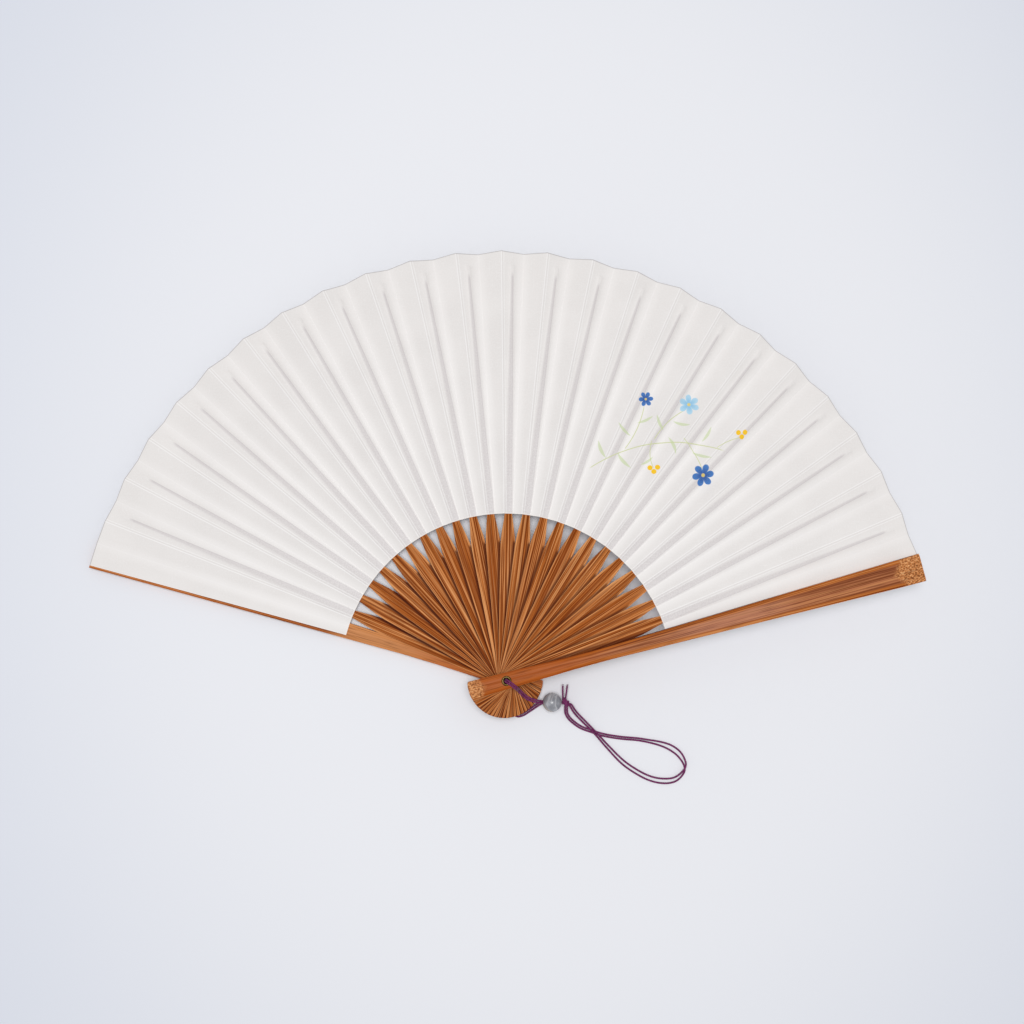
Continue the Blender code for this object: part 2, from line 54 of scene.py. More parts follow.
HALF_PANEL = BONE_STEP / 4

# Guards and sticks, as in the CAD
GUARD_THICK = 0.0030
GUARD_THIN = 0.0016
GUARD_REACH = 0.1785
GUARD_TAIL = 0.0160
GUARD_TIP_WIDTH = 0.0117
GUARD_WAIST_WIDTH = 0.0050
GUARD_TAIL_WIDTH = 0.0073
GUARD_WAIST = 0.036
STICK_TAIL = 0.0159
STICK_WIDTH = 0.0062
STICK_THICK = 0.0004
SHOULDER_START = 0.050
SLIVER_ROOT_WIDTH = 0.0032
SLIVER_TIP_WIDTH = 0.0009
SLIVER_REACH = 0.172
SLIVER_THICK = 0.0003

# Leaf, as in the CAD
LEAF_INNER = 0.0688
LEAF_OUTER = 0.178
SHEET = 0.0001
PLEAT_HEIGHT = 0.003
PLEAT_REACH = 0.00035
LEAF_LAYER = 0.00062
POCKET_WALL = 0.0001
POCKET_RAMP = 0.0003
POCKET_END = 0.001
PLEAT_EASE_SHARE = 0.18

# Clearances, as in the CAD
PLAY = 0.0001
POCKET_PLAY = 0.00005

# Eyelet, cord, knot and bead, as in the CAD
EYELET_BORE = 0.0022
EYELET_TUBE = 0.0029
EYELET_FLANGE = 0.0041
FLANGE_THICK = 0.00025
CORD = 0.0008
CORD_SPACING = 0.0009
CORD_TURN = 0.0017
CORD_OFF_AXIS = 0.00042
RIM_STICKS = 5
DROP_STICKS = 8
MOUTH_SHARES = (1.0, 0.0, -0.95)
QUARTER_SHARES = (1.0, 0.67, 0.33, 0.0)
BORE_SHARES = (0.88, 0.12)
CORD_STEP = 0.0021
FACE_GAP = 0.0003
BEAD = 0.008
BEAD_BORE = 0.0024
BEAD_OUT = 0.0198
BEAD_DOWN = 0.0097
KNOT_LENGTH = 0.0030
KNOT_WIDTH = 0.0043
TAIL_LENGTH = 0.0054
TAIL_SPREAD = 0.0019
TAIL_LEAN = 0.0003
LOOP_REACH = 0.0495
LOOP_SPREAD = 0.0022
SMOOTH_STEPS = 16

# The cord's way along the neck. A row is two shares of the way from the pivot to the bead, one
# of the climb and one of the pair's half turn. The cord climbs from the bead to the head's rim,
# lies on the sticks, climbs the front guard and goes down the bore. Underneath it bends round
# and comes out along the rim
LEAD_SHARES = (
    (0.938, -0.022, 0.40, 0.45),
    (0.865, -0.048, 0.98, 0.42),
)
RIM_SHARES = (
    (0.785, -0.072, 0.15, 0.40),
    (0.695, -0.092, 0.40, 0.35),
    (0.600, -0.093, 0.65, 0.30),
    (0.510, -0.080, 0.86, 0.26),
)
GUARD_SHARES = (
    (0.430, -0.062, 0.04, 0.24),
    (0.370, -0.044, 0.19, 0.24),
    (0.340, -0.034, 0.42, 0.24),
    (0.323, -0.029, 0.67, 0.25),
    (0.292, -0.022, 0.86, 0.27),
    (0.225, -0.012, 0.96, 0.30),
    (0.145, -0.003, 0.99, 0.32),
)
UNDER_SHARES = (
    (0.110, -0.140, 0, 0.05),
    (0.220, -0.265, 0, 0.06),
    (0.350, -0.400, 0, 0.08),
    (0.500, -0.530, 0, 0.16),
    (0.610, -0.575, 0, 0.29),
    (0.720, -0.555, 0, 0.47),
    (0.795, -0.475, 0.01, 0.62),
    (0.844, -0.374, 0.05, 0.69),
    (0.888, -0.271, 0.19, 0.71),
    (0.925, -0.170, 0.45, 0.70),
    (0.962, -0.078, 0.78, 0.63),
)

# The cord's way round the loop. A row is two shares of the loop's reach, how far the two strands
# stand apart, how many cords they have under them and how far the first rides over the second
LOOP_SHARES = (
    (-0.030, -0.049, 0, 3.9, 0),
    (-0.028, -0.080, 0, 3.3, 0),
    (-0.010, -0.122, 0, 1.9, 0),
    (0.034, -0.168, 0, 0.5, 0),
    (0.105, -0.216, 0, 0, 0),
    (0.190, -0.246, 0, 0, 0),
    (0.300, -0.279, 0, 0, 0),
    (0.445, -0.301, 0, 0, 0),
    (0.585, -0.312, 0, 0, 0),
    (0.678, -0.326, 0.1, 0, 0),
    (0.786, -0.348, 0.5, 0, 0),
    (0.879, -0.383, 0.9, 0, 0),
    (0.954, -0.441, 0.8, 0, 0.3),
    (0.997, -0.520, 0, 0, 1.0),
    (0.988, -0.580, 0, 0, 1.0),
    (0.925, -0.644, 0.6, 0, 0.3),
    (0.840, -0.664, 0.8, 0, 0),
    (0.729, -0.651, 0.7, 0, 0),
    (0.613, -0.603, 0.6, 0, 0),
    (0.471, -0.511, 0.5, 0, 0),
    (0.335, -0.378, 0.2, 0.4, 0),
    (0.225, -0.259, 0, 1.2, 0),
    (0.140, -0.176, 0.1, 1.4, 0),
    (0.055, -0.090, 0.1, 3.0, 0),
    (0.008, -0.022, 0, 5.1, 0),
)

# Values that follow from those, as in the CAD
STICK_LAYER = STICK_THICK + PLAY
LEAF_SEAT = SHEET + PLAY / 2
POCKET_REACH = SLIVER_REACH + POCKET_PLAY + POCKET_WALL
PIVOT_Y = -(LEAF_OUTER + PLEAT_REACH - STICK_TAIL) / 2

# Directions in the frame
ALONG = Vector((1, 0, 0))
ACROSS = Vector((0, 1, 0))
UP = Vector((0, 0, 1))

# Camera, lamps and floor
CAMERA_PLACE = (-0.0268, -0.0321, 0.6046)
CAMERA_TURN = (1.913, -2.752, 0.916)
CAMERA_LENS = 50.39
SKY_COLOUR = (0.985, 0.99, 1.0)
SKY_STRENGTH = 0.40
KEY_PLACE = (-0.10, 0.05, 1.60)
KEY_SIZE = 0.65
KEY_POWER = 16.4
FLOOR_SIZE = 6.0
# The floor's colour darkens from the middle towards the edges: painted shade where the lamp's
# light falls off
FLOOR_MIDDLE = (0.825, 0.833, 0.872)
FLOOR_EDGE_SHADE = (0.690, 0.720, 0.800)
FLOOR_CENTRE = 0.025
FLOOR_SLIM_SHARE = 0.75
FLOOR_FALL_START = 0.12
FLOOR_FALL_END = 0.34
FLOOR_GRAIN_SCALE = 900
FLOOR_RELIEF = (0.00002, 0.2)
FLOOR_ROUGH = 0.9
FLOOR_GLOSS = 0.1

# Finer detail than the CAD has
MERGE = 0.000001
FLAT_DEGREES = 0.5
SHARP_DEGREES = 20
GOLDEN_SHARE = 0.618034
STICK_ROUND = 0.00008
GUARD_ROUND = 0.00018
ROUND_SEGMENTS = 2
FACE_WEIGHT = 100
LEAF_ROWS = 36
PLAIN_COLUMN_SHARES = (1, 0.6, 0.2, -0.2, -0.6, -1)
PANEL_SAG = 0.00018
PANEL_WAVE = 0.00010
WAVE_LENGTH = LEAF_INNER / 2
WAVE_SEED_STEP = 3.7
LEAF_DEGREES = 40
EYELET_DEGREES = 50
BEAD_DEGREES = 40
CORD_DEGREES = 60
RIM_STEPS = 8
RING_STEPS = 72
BEAD_ARCS = 36
ROPE_STEP = 0.00018
ROPE_SIDES = 15
ROPE_PLIES = 3
ROPE_PITCH = 0.0026
ROPE_GROOVE_SHARE = 0.09
KNOT_TURNS = 3.2
KNOT_ARCS = 40
KNOT_SLANT_SHARE = 0.30
KNOT_END_SHARE = 0.84
CORE_STRANDS = 4
CORE_STEPS = 16
CORE_TURN = 0.6
CORE_SPREAD_SHARE = 0.62
TAIL_STEPS = 32
TAIL_SLIM_SHARE = 0.92
FRAY_LENGTH = 0.0007
FRAY_WIDTH = 0.00009
FRAY_HAIRS = 9
FRAY_STEPS = 4
FRAY_ROOT_SHARE = 0.30
FRAY_BACK_SHARE = 0.4
FRAY_SPREAD_SHARES = (0.42, 0.52, 0.62)

# Marks in the paper. A relief is its depth and its strength
FINE_DETAIL = 3
CLOUD_SCALE = 60
FLECK_SCALE = 1500
FLECK_ROUGH = 0.7
HAIR_SCALES = ((260, 3400, 0.0), (3100, 240, 4.0))
HAIR_ROUGH = 0.6
HAIR_SHARES = (0.60, 0.74)
HAIR_RELIEF_SHARE = 0.5
# Painted light, paler paper near each valley
VALLEY_LIGHT_SPAN = (0.0036, 0.0004)
VALLEY_LIGHT_MIDDLE_SHARE = 0.45
VALLEY_LIGHT_SHARES = (1.0, 0.35)
RIM_SPAN = (0.00042, 0.00022)
HEM_SPAN = (0.0005, 0.0003)
PAPER_RELIEF = (0.00004, 0.5)
PAPER_ROUGH = 0.88
PAPER_GLOSS = 0.22
BAND_END = 0.1702
BAND_FADE = 0.0030
BAND_LEFT_SHARE = 0.9
BAND_OUT_SHARE = -0.7
BAND_WORN_SHARES = (0.50, 0.85)
BAND_FLECK_SHARES = (0.35, 0.65)
# Painted shadow line along the sliver's right edge
SLIVER_SHADOW_WIDTH = 0.0004
SLIVER_SHADOW_SHARES = (0.06, 0.22)
# Crease wear and painted highlight along the folds
CREASE_WIDTH = 0.00022
CREASE_STEP = 0.0010
CREASE_FLECK_SHARES = (0.3, 0.6, 0.45, 0.85)

# Marks in the bamboo
FIBRE_WIDTH = 0.00036
FIBRE_LENGTH = 0.060
VEIN_WIDTH = 0.0010
VEIN_LENGTH = 0.110
PORE_WIDTH = 0.00030
PORE_LENGTH = 0.015
PORE_SHARES = (0.54, 0.66)
PORE_DEPTH_SHARE = 0.45
PORE_RELIEF_SHARE = 0.5
FIBRE_RELIEF = (0.00006, 0.8)
BAMBOO_ROUGH_SHARES = (0.25, 0.8, 0.60, 0.42)
STICK_GLOSS = 0.05
GUARD_GLOSS = 0.12
PLAIN_GLOSS = 0.5
SEED_STEP = 7.3
SEEDS = 41
TONE_SHARE = 0.35
REAR_TONE = 0.22
FRONT_TONE = 0.35
# Painted highlight along the strips' long edges
EDGE_HIGHLIGHT_WIDTH = 0.0005
EDGE_HIGHLIGHT_SHARES = (0.36, 0.56)
EDGE_HIGHLIGHT_SHARE = 0.75
# Painted shadow on each strip beside the edge of the strip that lies on it
SHADOW_WIDTH = 0.0015
SHADOW_REACH_SHARE = 0.38
SHADOW_SHARP_SHARE = 0.35
FIRST_SHADOW_SHARE = 0.95
LAST_SHADOW_SHARE = 0.60
LINE_WIDTH = 0.00050
LINE_LENGTH = 0.150
EDGE_BEVEL_WIDTH = 0.0011
REAR_END = 0.080
REAR_DEPTH_SHARE = 0.6
HEAD_SPAN = (0.052, 0.020)
HEAD_DEPTH_SHARE = 0.65
# Painted sheen, a reflection along the middle of the guards' faces
SHEEN_START = 0.060
SHEEN_END = 0.130
SHEEN_FADE = 0.025
SHEEN_SHARE = 0.4
SPECK_WIDTH = 0.00050
SPECK_LENGTH = 0.00080
TIP_GRAIN = 0.0125
TIP_SLANT_SHARE = 0.72
TAIL_GRAIN = 0.0067
TAIL_SLANT_SHARE = 0.5
RAGGED_DEPTH = 0.0030
RAGGED_LENGTH = 0.0030
RAGGED_WIDTH = 0.0010
MIDDLE_SHARE = 0.5

# Colours of the bamboo
DARK_FIBRE = (0.150, 0.024, 0.001)
MID_FIBRE = (0.445, 0.126, 0.020)
LIGHT_FIBRE = (0.740, 0.335, 0.125)
DEEP_ORANGE = (0.330, 0.070, 0.004)
PORE_BROWN = (0.080, 0.011, 0.001)
# Painted shadow beside the next strip's edge
SHADOW_BROWN = (0.050, 0.004, 0.0003)
FACE_DARK = (0.210, 0.054, 0.014)
FACE_LIGHT = (0.445, 0.158, 0.062)
# Painted sheen
FACE_SHEEN = (0.550, 0.250, 0.160)
FLANK_ORANGE = (0.440, 0.120, 0.016)
REAR_LIGHT = (0.700, 0.300, 0.105)
HEAD_ORANGE = (0.400, 0.078, 0.002)

# Brass, stone and thread
BRASS_ROUGH_SHARES = (0.3, 0.75, 0.30, 0.52)
BRASS_SCALE = 900
BRASS_RELIEF = (0.00002, 0.4)
STONE_ROUGH_SHARES = (0.3, 0.7, 0.30, 0.20)
STONE_COAT = 0.25
STONE_SCALE = 420
STONE_RELIEF = (0.00003, 0.3)
THREAD_SCALES = (900, 9000, 0.0)
THREAD_WORN_SCALES = (160, 600, 5.0)
THREAD_GRAIN_ROUGH = 0.6
THREAD_ROUGH_SHARES = (0.3, 0.8, 0.72, 0.55)
THREAD_SHEEN = 0.10
THREAD_GLOSS = 0.25
THREAD_RELIEF = (0.00003, 0.7)

# Tints, laid one over the other. A row is a mark, the span over which the mark counts, how
# strong the tint gets, and its colour. Without a span the mark counts as it is
STRIP_TINT_SHARES = (
    ("fine", 0.41, 0.48, 1.0, MID_FIBRE),
    ("fine", 0.53, 0.63, 1.0, LIGHT_FIBRE),
    ("broad", 0.52, 0.36, 0.60, DARK_FIBRE),
    ("broad", 0.55, 0.68, 0.55, LIGHT_FIBRE),
)
FACE_TINT_SHARES = (
    ("fine", 0.38, 0.58, 1.0, FACE_LIGHT),
    ("broad", 0.50, 0.36, 0.45, DARK_FIBRE),
    ("broad", 0.55, 0.68, 0.35, LIGHT_FIBRE),
)
LINE_TINT_SHARES = (
    ("lines", 0.38, 0.50, 1.0, FLANK_ORANGE),
    ("lines", 0.53, 0.65, 0.6, LIGHT_FIBRE),
)
SPECK_DARK = (0.245, 0.085, 0.023)
SPECK_TINT_SHARES = (
    ("specks", 0.38, 0.48, 1.0, (0.560, 0.207, 0.064)),
    ("specks", 0.54, 0.66, 1.0, (0.780, 0.410, 0.180)),
)
PAPER_GREY = (0.775, 0.745, 0.728)
PAPER_TINT_SHARES = (
    ("cloud", 0.3, 0.7, 1.0, (0.805, 0.775, 0.758)),
    ("fleck", 0.35, 0.75, 0.5, (0.850, 0.825, 0.810)),
    ("hairs", 0.42, (0.900, 0.880, 0.870)),
    # Painted light near the valleys
    ("flank", 0.55, (0.900, 0.875, 0.862)),
)
BAND_TINT_SHARES = (
    ("band", 0.52, (0.550, 0.505, 0.515)),
    # The edge row is a painted shadow along the sliver's right edge
    ("edge", 1.0, (0.430, 0.390, 0.400)),
)
# Crease wear and painted highlight
CREASE_WHITE = (0.965, 0.955, 0.950)
CREASE_TINT_SHARES = (
    ("groove", 0.12, CREASE_WHITE),
    ("between", 0.22, (0.640, 0.615, 0.615)),
    ("second", 0.60, CREASE_WHITE),
    ("crest", 0.60, CREASE_WHITE),
)
EDGE_TINT_SHARES = (
    ("rim", 0.65, (0.400, 0.385, 0.390)),
    ("hem", 0.5, (0.930, 0.880, 0.830)),
)
BRASS_DARK = (0.040, 0.025, 0.008)
BRASS_TINT_SHARES = (("patina", 0.35, 0.7, 1.0, (0.190, 0.125, 0.045)),)
STONE_DARK = (0.225, 0.230, 0.255)
STONE_TINT_SHARES = (
    ("cloud", 0.3, 0.7, 1.0, (0.400, 0.410, 0.445)),
    ("vein", 0.52, 0.70, 0.60, (0.640, 0.640, 0.660)),
    ("vein", 0.46, 0.34, 0.45, (0.170, 0.180, 0.210)),
    ("low", -0.10, -0.45, 0.60, (0.340, 0.235, 0.150)),
)
THREAD_DARK = (0.085, 0.005, 0.050)
THREAD_TINT_SHARES = (
    ("fibre", 0.30, 0.72, 1.0, (0.250, 0.022, 0.150)),
    ("worn", 0.45, 0.75, 0.30, (0.400, 0.100, 0.280)),
    # Painted shade in the grooves between the plies
    ("groove", 0.35, (0.060, 0.010, 0.040)),
)

# Painted spray
FIRST_PAINTED = 10
LAST_PAINTED = 21
PAINT_GRAIN_SCALE = 2600
PAINT_GRAIN_SHARES = (0.30, 0.62)
PAINT_THIN_SHARE = 0.92
STROKE_SOFT_SHARE = 0.12
STROKE_START_SHARES = (0.0, 0.03)
STROKE_END_SHARES = (1.0, 0.94)
BLADE_END_SHARES = (0.0, 0.08)
STEM_PAINT_SHARE = 0.85
BLADE_PAINT_SHARE = 0.62
PETAL_PAINT_SHARE = 0.97
HEART_PAINT_SHARE = 0.9
PETALS = 6
PETAL_POWER = 0.55
NOTCH_SHARE = 0.38
PETAL_EDGE_SHARES = (1.05, 0.95)
PETAL_SHADE_SHARES = (0.95, 0.25)
PETAL_VEINS = 5
VEIN_DEPTH_SHARE = 0.35
HEART_EDGE_SHARES = (0.20, 0.13)
BERRY_RADIUS = 0.00105
BERRY_EDGE_SHARES = (1.08, 0.9)
DEEP_BLUE = (0.012, 0.080, 0.33)
MID_BLUE = (0.030, 0.170, 0.50)
PALE_BLUE = (0.42, 0.66, 0.82)
WATER_BLUE = (0.26, 0.52, 0.74)
YELLOW = (0.93, 0.56, 0.010)
HEART = (0.80, 0.62, 0.16)
STEM = (0.62, 0.66, 0.36)
BLADE = (0.55, 0.66, 0.33)

# The spray. A stem or blade is its start, end, bow and width, a blossom its centre, radius,
# turn and two colours, and a berry its centre
STEMS = (
    ((0.0330, 0.0880), (0.0900, 0.0960), 0.0070, 0.000442),
    ((0.0480, 0.0965), (0.0560, 0.1150), -0.0012, 0.000374),
    ((0.0600, 0.1005), (0.0735, 0.1135), 0.0014, 0.000374),
    ((0.0720, 0.1015), (0.0800, 0.0880), 0.0010, 0.000340),
    ((0.0860, 0.0975), (0.0960, 0.1020), 0.0006, 0.000340),
    ((0.0590, 0.1002), (0.0600, 0.0885), -0.0010, 0.000340),
)
BLADES = (
    ((0.0400, 0.0925), (0.0370, 0.1000), 0.0006, 0.00136),
    ((0.0450, 0.0950), (0.0505, 0.0885), -0.0006, 0.00136),
    ((0.0505, 0.1020), (0.0450, 0.1075), 0.0005, 0.00120),
    ((0.0530, 0.1075), (0.0595, 0.1105), -0.0005, 0.00112),
    ((0.0640, 0.1045), (0.0610, 0.1110), 0.0005, 0.00120),
    ((0.0680, 0.1085), (0.0750, 0.1070), -0.0006, 0.00120),
    ((0.0660, 0.1018), (0.0690, 0.0945), 0.0006, 0.00128),
    ((0.0760, 0.0955), (0.0840, 0.0935), -0.0005, 0.00120),
    ((0.0800, 0.1000), (0.0840, 0.1065), -0.0005, 0.00120),
    ((0.0598, 0.0935), (0.0545, 0.0900), 0.0005, 0.00104),
)
BLOSSOMS = (
    ((0.0805, 0.0860), 0.0047, 0.2, MID_BLUE, DEEP_BLUE),
    ((0.0745, 0.1155), 0.0042, 0.6, PALE_BLUE, WATER_BLUE),
    ((0.0565, 0.1175), 0.0031, 0.1, MID_BLUE, DEEP_BLUE),
)
BERRIES = (
    (0.0600, 0.0872), (0.0615, 0.0890), (0.0585, 0.0888),
    (0.0965, 0.1023), (0.0950, 0.1040), (0.0978, 0.1042),
)


def mix(low, high, share):
    return low + (high - low) * share


def ease(share):
    """A smooth step from 0 to 1."""
    held = min(max(share, 0.0), 1.0)
    return held * held * (3 - 2 * held)


# Pieces

def add_object(name, data):
    made = bpy.data.objects.new(name, data)
    bpy.context.scene.collection.objects.link(made)
    return made


def add_piece(name, mesh, material, slot, body, *nodes):
    made = add_object(name, mesh)
    made.data.materials.clear()
    made.data.materials.append(material)
    if body:
        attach(made, body)
    if nodes:
        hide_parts(*nodes)
    return made


def write_vectors(mesh, name, vectors):
    held = mesh.attributes.new(name, "FLOAT_VECTOR", "POINT")
    for slot, vector in zip(held.data, vectors):
        slot.vector = vector


def write_numbers(mesh, name, values):
    held = mesh.attributes.new(name, "FLOAT", "POINT")
    for slot, value in zip(held.data, values):
        slot.value = value


def smooth(mesh, degrees):
    mesh.shade_smooth()
    mesh.set_sharp_from_angle(angle=math.radians(degrees))


def add_band(body, near, far, closed):
    """Faces between two rows of points, closed where a row is a ring."""
    for here in range(len(near) if closed else len(near) - 1):
        after = (here + 1) % len(near)
        body.faces.new((near[here], near[after], far[after], far[here]))


def close_mesh(name, body):
    """The body as a mesh, with its faces turned outward."""
    mesh = bpy.data.meshes.new(name)
    bmesh.ops.recalc_face_normals(body, faces=body.faces)
    body.to_mesh(mesh)
    body.free()
    return mesh


def rings_mesh(name, runs, closed=False):
    """One mesh of a body for each run of rings. A run's rings have equally many points."""
    body = bmesh.new()
    for rings in runs:
        rows = [[body.verts.new(point) for point in ring] for ring in rings]
        if closed:
            rows.append(rows[0])
        else:
            body.faces.new(rows[0])
            body.faces.new(tuple(reversed(rows[-1])))
        for near, far in zip(rows, rows[1:]):
            add_band(body, near, far, True)
    return close_mesh(name, body)


def lathe_mesh(name, profile, steps):
    """A closed ring of revolution about Z. The profile's points are (radius, height)."""
    rings = []
    for step in range(steps):
        turn = 2 * math.pi * step / steps
        rings.append([(r * math.cos(turn), r * math.sin(turn), z) for r, z in profile])
    return rings_mesh(name, [rings], True)


# Heights in the stack, as in the CAD

def bone_angle(bone):
    return math.pi / 2 + OPENING / 2 - bone * BONE_STEP


def bone_body(bone):
    if bone == 0:
        return "rear_guard"
    return "front_guard" if bone == LAST else f"stick_{bone:02d}"


def from_bone(bone, along, across, height):
    turn = bone_angle(bone)
    x = along * math.cos(turn) - across * math.sin(turn)
    y = along * math.sin(turn) + across * math.cos(turn)
    return Vector((x, y + PIVOT_Y, height))


def to_bone(bone, point):
    turn = bone_angle(bone)
    x = point.x
    y = point.y - PIVOT_Y
    along = x * math.cos(turn) + y * math.sin(turn)
    across = -x * math.sin(turn) + y * math.cos(turn)
    return Vector((along, across, point.z))


def stick_height(bone, along):
    near = GUARD_THICK + bone * STICK_LAYER - STICK_THICK / 2
    far = GUARD_THICK + LEAF_SEAT + bone * LEAF_LAYER
    return mix(near, far, along / LEAF_OUTER)


def front_seat(along):
    near = GUARD_THICK + (LAST - 1) * STICK_LAYER + PLAY
    far = GUARD_THICK + 2 * LEAF_SEAT + LAST * LEAF_LAYER
    return mix(near, far, along / LEAF_OUTER)


def leaf_height(bone, along):
    if bone == 0:
        return GUARD_THICK + LEAF_SEAT
    if bone == LAST:
        return front_seat(along) - LEAF_SEAT
    return stick_height(bone, along)


def pleat_share(bone):
    return min(1.0, PLEAT_EASE_SHARE * bone, PLEAT_EASE_SHARE * (LAST - bone))


def panel_slope(bone):
    half_width = LEAF_OUTER * math.tan(HALF_PANEL)
    return pleat_share(bone) * PLEAT_HEIGHT / 2 / half_width


def sliver_width(along):
    share = (along - LEAF_INNER) / (SLIVER_REACH - LEAF_INNER)
    return mix(SLIVER_ROOT_WIDTH, SLIVER_TIP_WIDTH, max(share, 0))


# Shader nodes

class Shader:
    """A material and short ways to add nodes to it. A number or a socket goes in anywhere."""

    def __init__(self, name):
        self.material = bpy.data.materials.new(name)
        self.material.use_nodes = True
        self.tree = self.material.node_tree
        self.surface = self.tree.nodes["Principled BSDF"]

    def put(self, socket, value):
        if isinstance(value, bpy.types.NodeSocket):
            self.tree.links.new(value, socket)
        else:
            socket.default_value = value

    def set(self, name, value):
        self.put(self.surface.inputs[name], value)

    def attribute(self, name, output="Vector"):
        made = self.tree.nodes.new("ShaderNodeAttribute")
        made.attribute_name = name
        return made.outputs[output]

    def split(self, vector):
        made = self.tree.nodes.new("ShaderNodeSeparateXYZ")
        self.put(made.inputs[0], vector)
        return made.outputs[0], made.outputs[1], made.outputs[2]

    def join(self, x, y, z):
        made = self.tree.nodes.new("ShaderNodeCombineXYZ")
        for socket, value in zip(made.inputs, (x, y, z)):
            self.put(socket, value)
        return made.outputs[0]

    def math(self, operation, *values):
        made = self.tree.nodes.new("ShaderNodeMath")
        made.operation = operation
        for socket, value in zip(made.inputs, values):
            self.put(socket, value)
        return made.outputs[0]

    def add(self, a, b):
        return self.math("ADD", a, b)

    def less(self, a, b):
        return self.math("SUBTRACT", a, b)

    def times(self, a, b):
        return self.math("MULTIPLY", a, b)

    def abs(self, a):
        return self.math("ABSOLUTE", a)

    def distance(self, x, y):
        """How far a place is from the middle of its two coordinates."""
        return self.math("SQRT", self.add(self.times(x, x), self.times(y, y)))

    def map(self, kind, value, low, high, to_low, to_high):
        made = self.tree.nodes.new("ShaderNodeMapRange")
        made.interpolation_type = kind
        names = ("Value", "From Min", "From Max", "To Min", "To Max")
        for name, held in zip(names, (value, low, high, to_low, to_high)):
            self.put(made.inputs[name], held)
        return made.outputs["Result"]

    def step(self, value, low, high, to_low=0.0, to_high=1.0):
        """A smooth step of value from low to high."""
        return self.map("SMOOTHSTEP", value, low, high, to_low, to_high)

    def line(self, value, low, high, to_low, to_high):
        """A straight run of value from low to high."""
        return self.map("LINEAR", value, low, high, to_low, to_high)

    def noise(self, vector, scale=1.0, detail=2.0, rough=0.5):
        made = self.tree.nodes.new("ShaderNodeTexNoise")
        self.put(made.inputs["Vector"], vector)
        made.inputs["Scale"].default_value = scale
        made.inputs["Detail"].default_value = detail
        made.inputs["Roughness"].default_value = rough
        return made.outputs["Fac"]

    def grain(self, x, y, scales, detail=2.0, rough=0.5):
        """Noise with a scale for each of two places, and a seed as the third."""
        x_scale, y_scale, seed = scales
        place = self.join(self.times(x, x_scale), self.times(y, y_scale), seed)
        return self.noise(place, detail=detail, rough=rough)

    def streaks(self, along, across, length, width, seed, detail=2.0):
        """Noise drawn out along the first place, with marks of about that length and width."""
        return self.grain(along, across, (1 / length, 1 / width, seed), detail)

    def blend(self, share, low, high):
        """A colour between two colours."""
        made = self.tree.nodes.new("ShaderNodeMix")
        made.data_type = "RGBA"
        self.put(made.inputs["Factor"], share)
        for name, colour in (("A", low), ("B", high)):
            socket = [s for s in made.inputs if s.name == name and s.type == "RGBA"][0]
            self.put(socket, (*colour, 1.0) if isinstance(colour, tuple) else colour)
        return [s for s in made.outputs if s.type == "RGBA"][0]

    def tint(self, colour, rows, **marks):
        """A table's tints over a colour."""
        for mark, *span, most, over in rows:
            held = marks[mark]
            share = self.step(held, *span, 0.0, most) if span else self.times(held, most)
            colour = self.blend(share, colour, over)
        return colour

    def finish(self, colour, rough, gloss=PLAIN_GLOSS):
        self.set("Base Color", colour)
        self.set("Roughness", rough)
        self.set("Specular IOR Level", gloss)

    def bump(self, height, distance, strength):
        made = self.tree.nodes.new("ShaderNodeBump")
        made.inputs["Strength"].default_value = strength
        made.inputs["Distance"].default_value = distance
        self.put(made.inputs["Height"], height)
        self.put(self.surface.inputs["Normal"], made.outputs[0])


# Bamboo

def bamboo_fibres(s, along, across, seed):
    """Fine fibres, broad veins and short dark pores."""
    fine = s.streaks(along, across, FIBRE_LENGTH, FIBRE_WIDTH, seed)
    broad = s.streaks(along, across, VEIN_LENGTH, VEIN_WIDTH, s.add(seed, SEED_STEP))
    pores = s.streaks(along, across, PORE_LENGTH, PORE_WIDTH, s.less(seed, SEED_STEP))
    return fine, broad, s.step(pores, *PORE_SHARES)


def finish_bamboo(s, colour, fine, pores, gloss):
    colour = s.blend(s.times(pores, PORE_DEPTH_SHARE), colour, PORE_BROWN)
    s.finish(colour, s.step(fine, *BAMBOO_ROUGH_SHARES), gloss)
    relief = s.less(fine, s.times(pores, PORE_RELIEF_SHARE))
    s.bump(relief, *FIBRE_RELIEF)
    return s.material


def painted_shadow_mark(s, along, across):
    """Painted shadow on a strip's upper side, just beside the edge of the strip that lies on it.
    """
    reach = s.times(s.abs(along), math.tan(BONE_STEP))
    covered = s.less(STICK_WIDTH / 2 / math.cos(BONE_STEP), reach)
    beyond = s.less(s.times(s.math("SIGN", along), across), covered)
    wide = s.math("MINIMUM", s.times(reach, SHADOW_REACH_SHARE), SHADOW_WIDTH)
    shadowed = s.step(beyond, wide, s.times(wide, SHADOW_SHARP_SHARE))
    upper = s.step(s.attribute("lift", "Fac"), STICK_THICK / 4, STICK_THICK * 3 / 8)
    return s.times(s.times(shadowed, upper), s.attribute("shade", "Fac"))


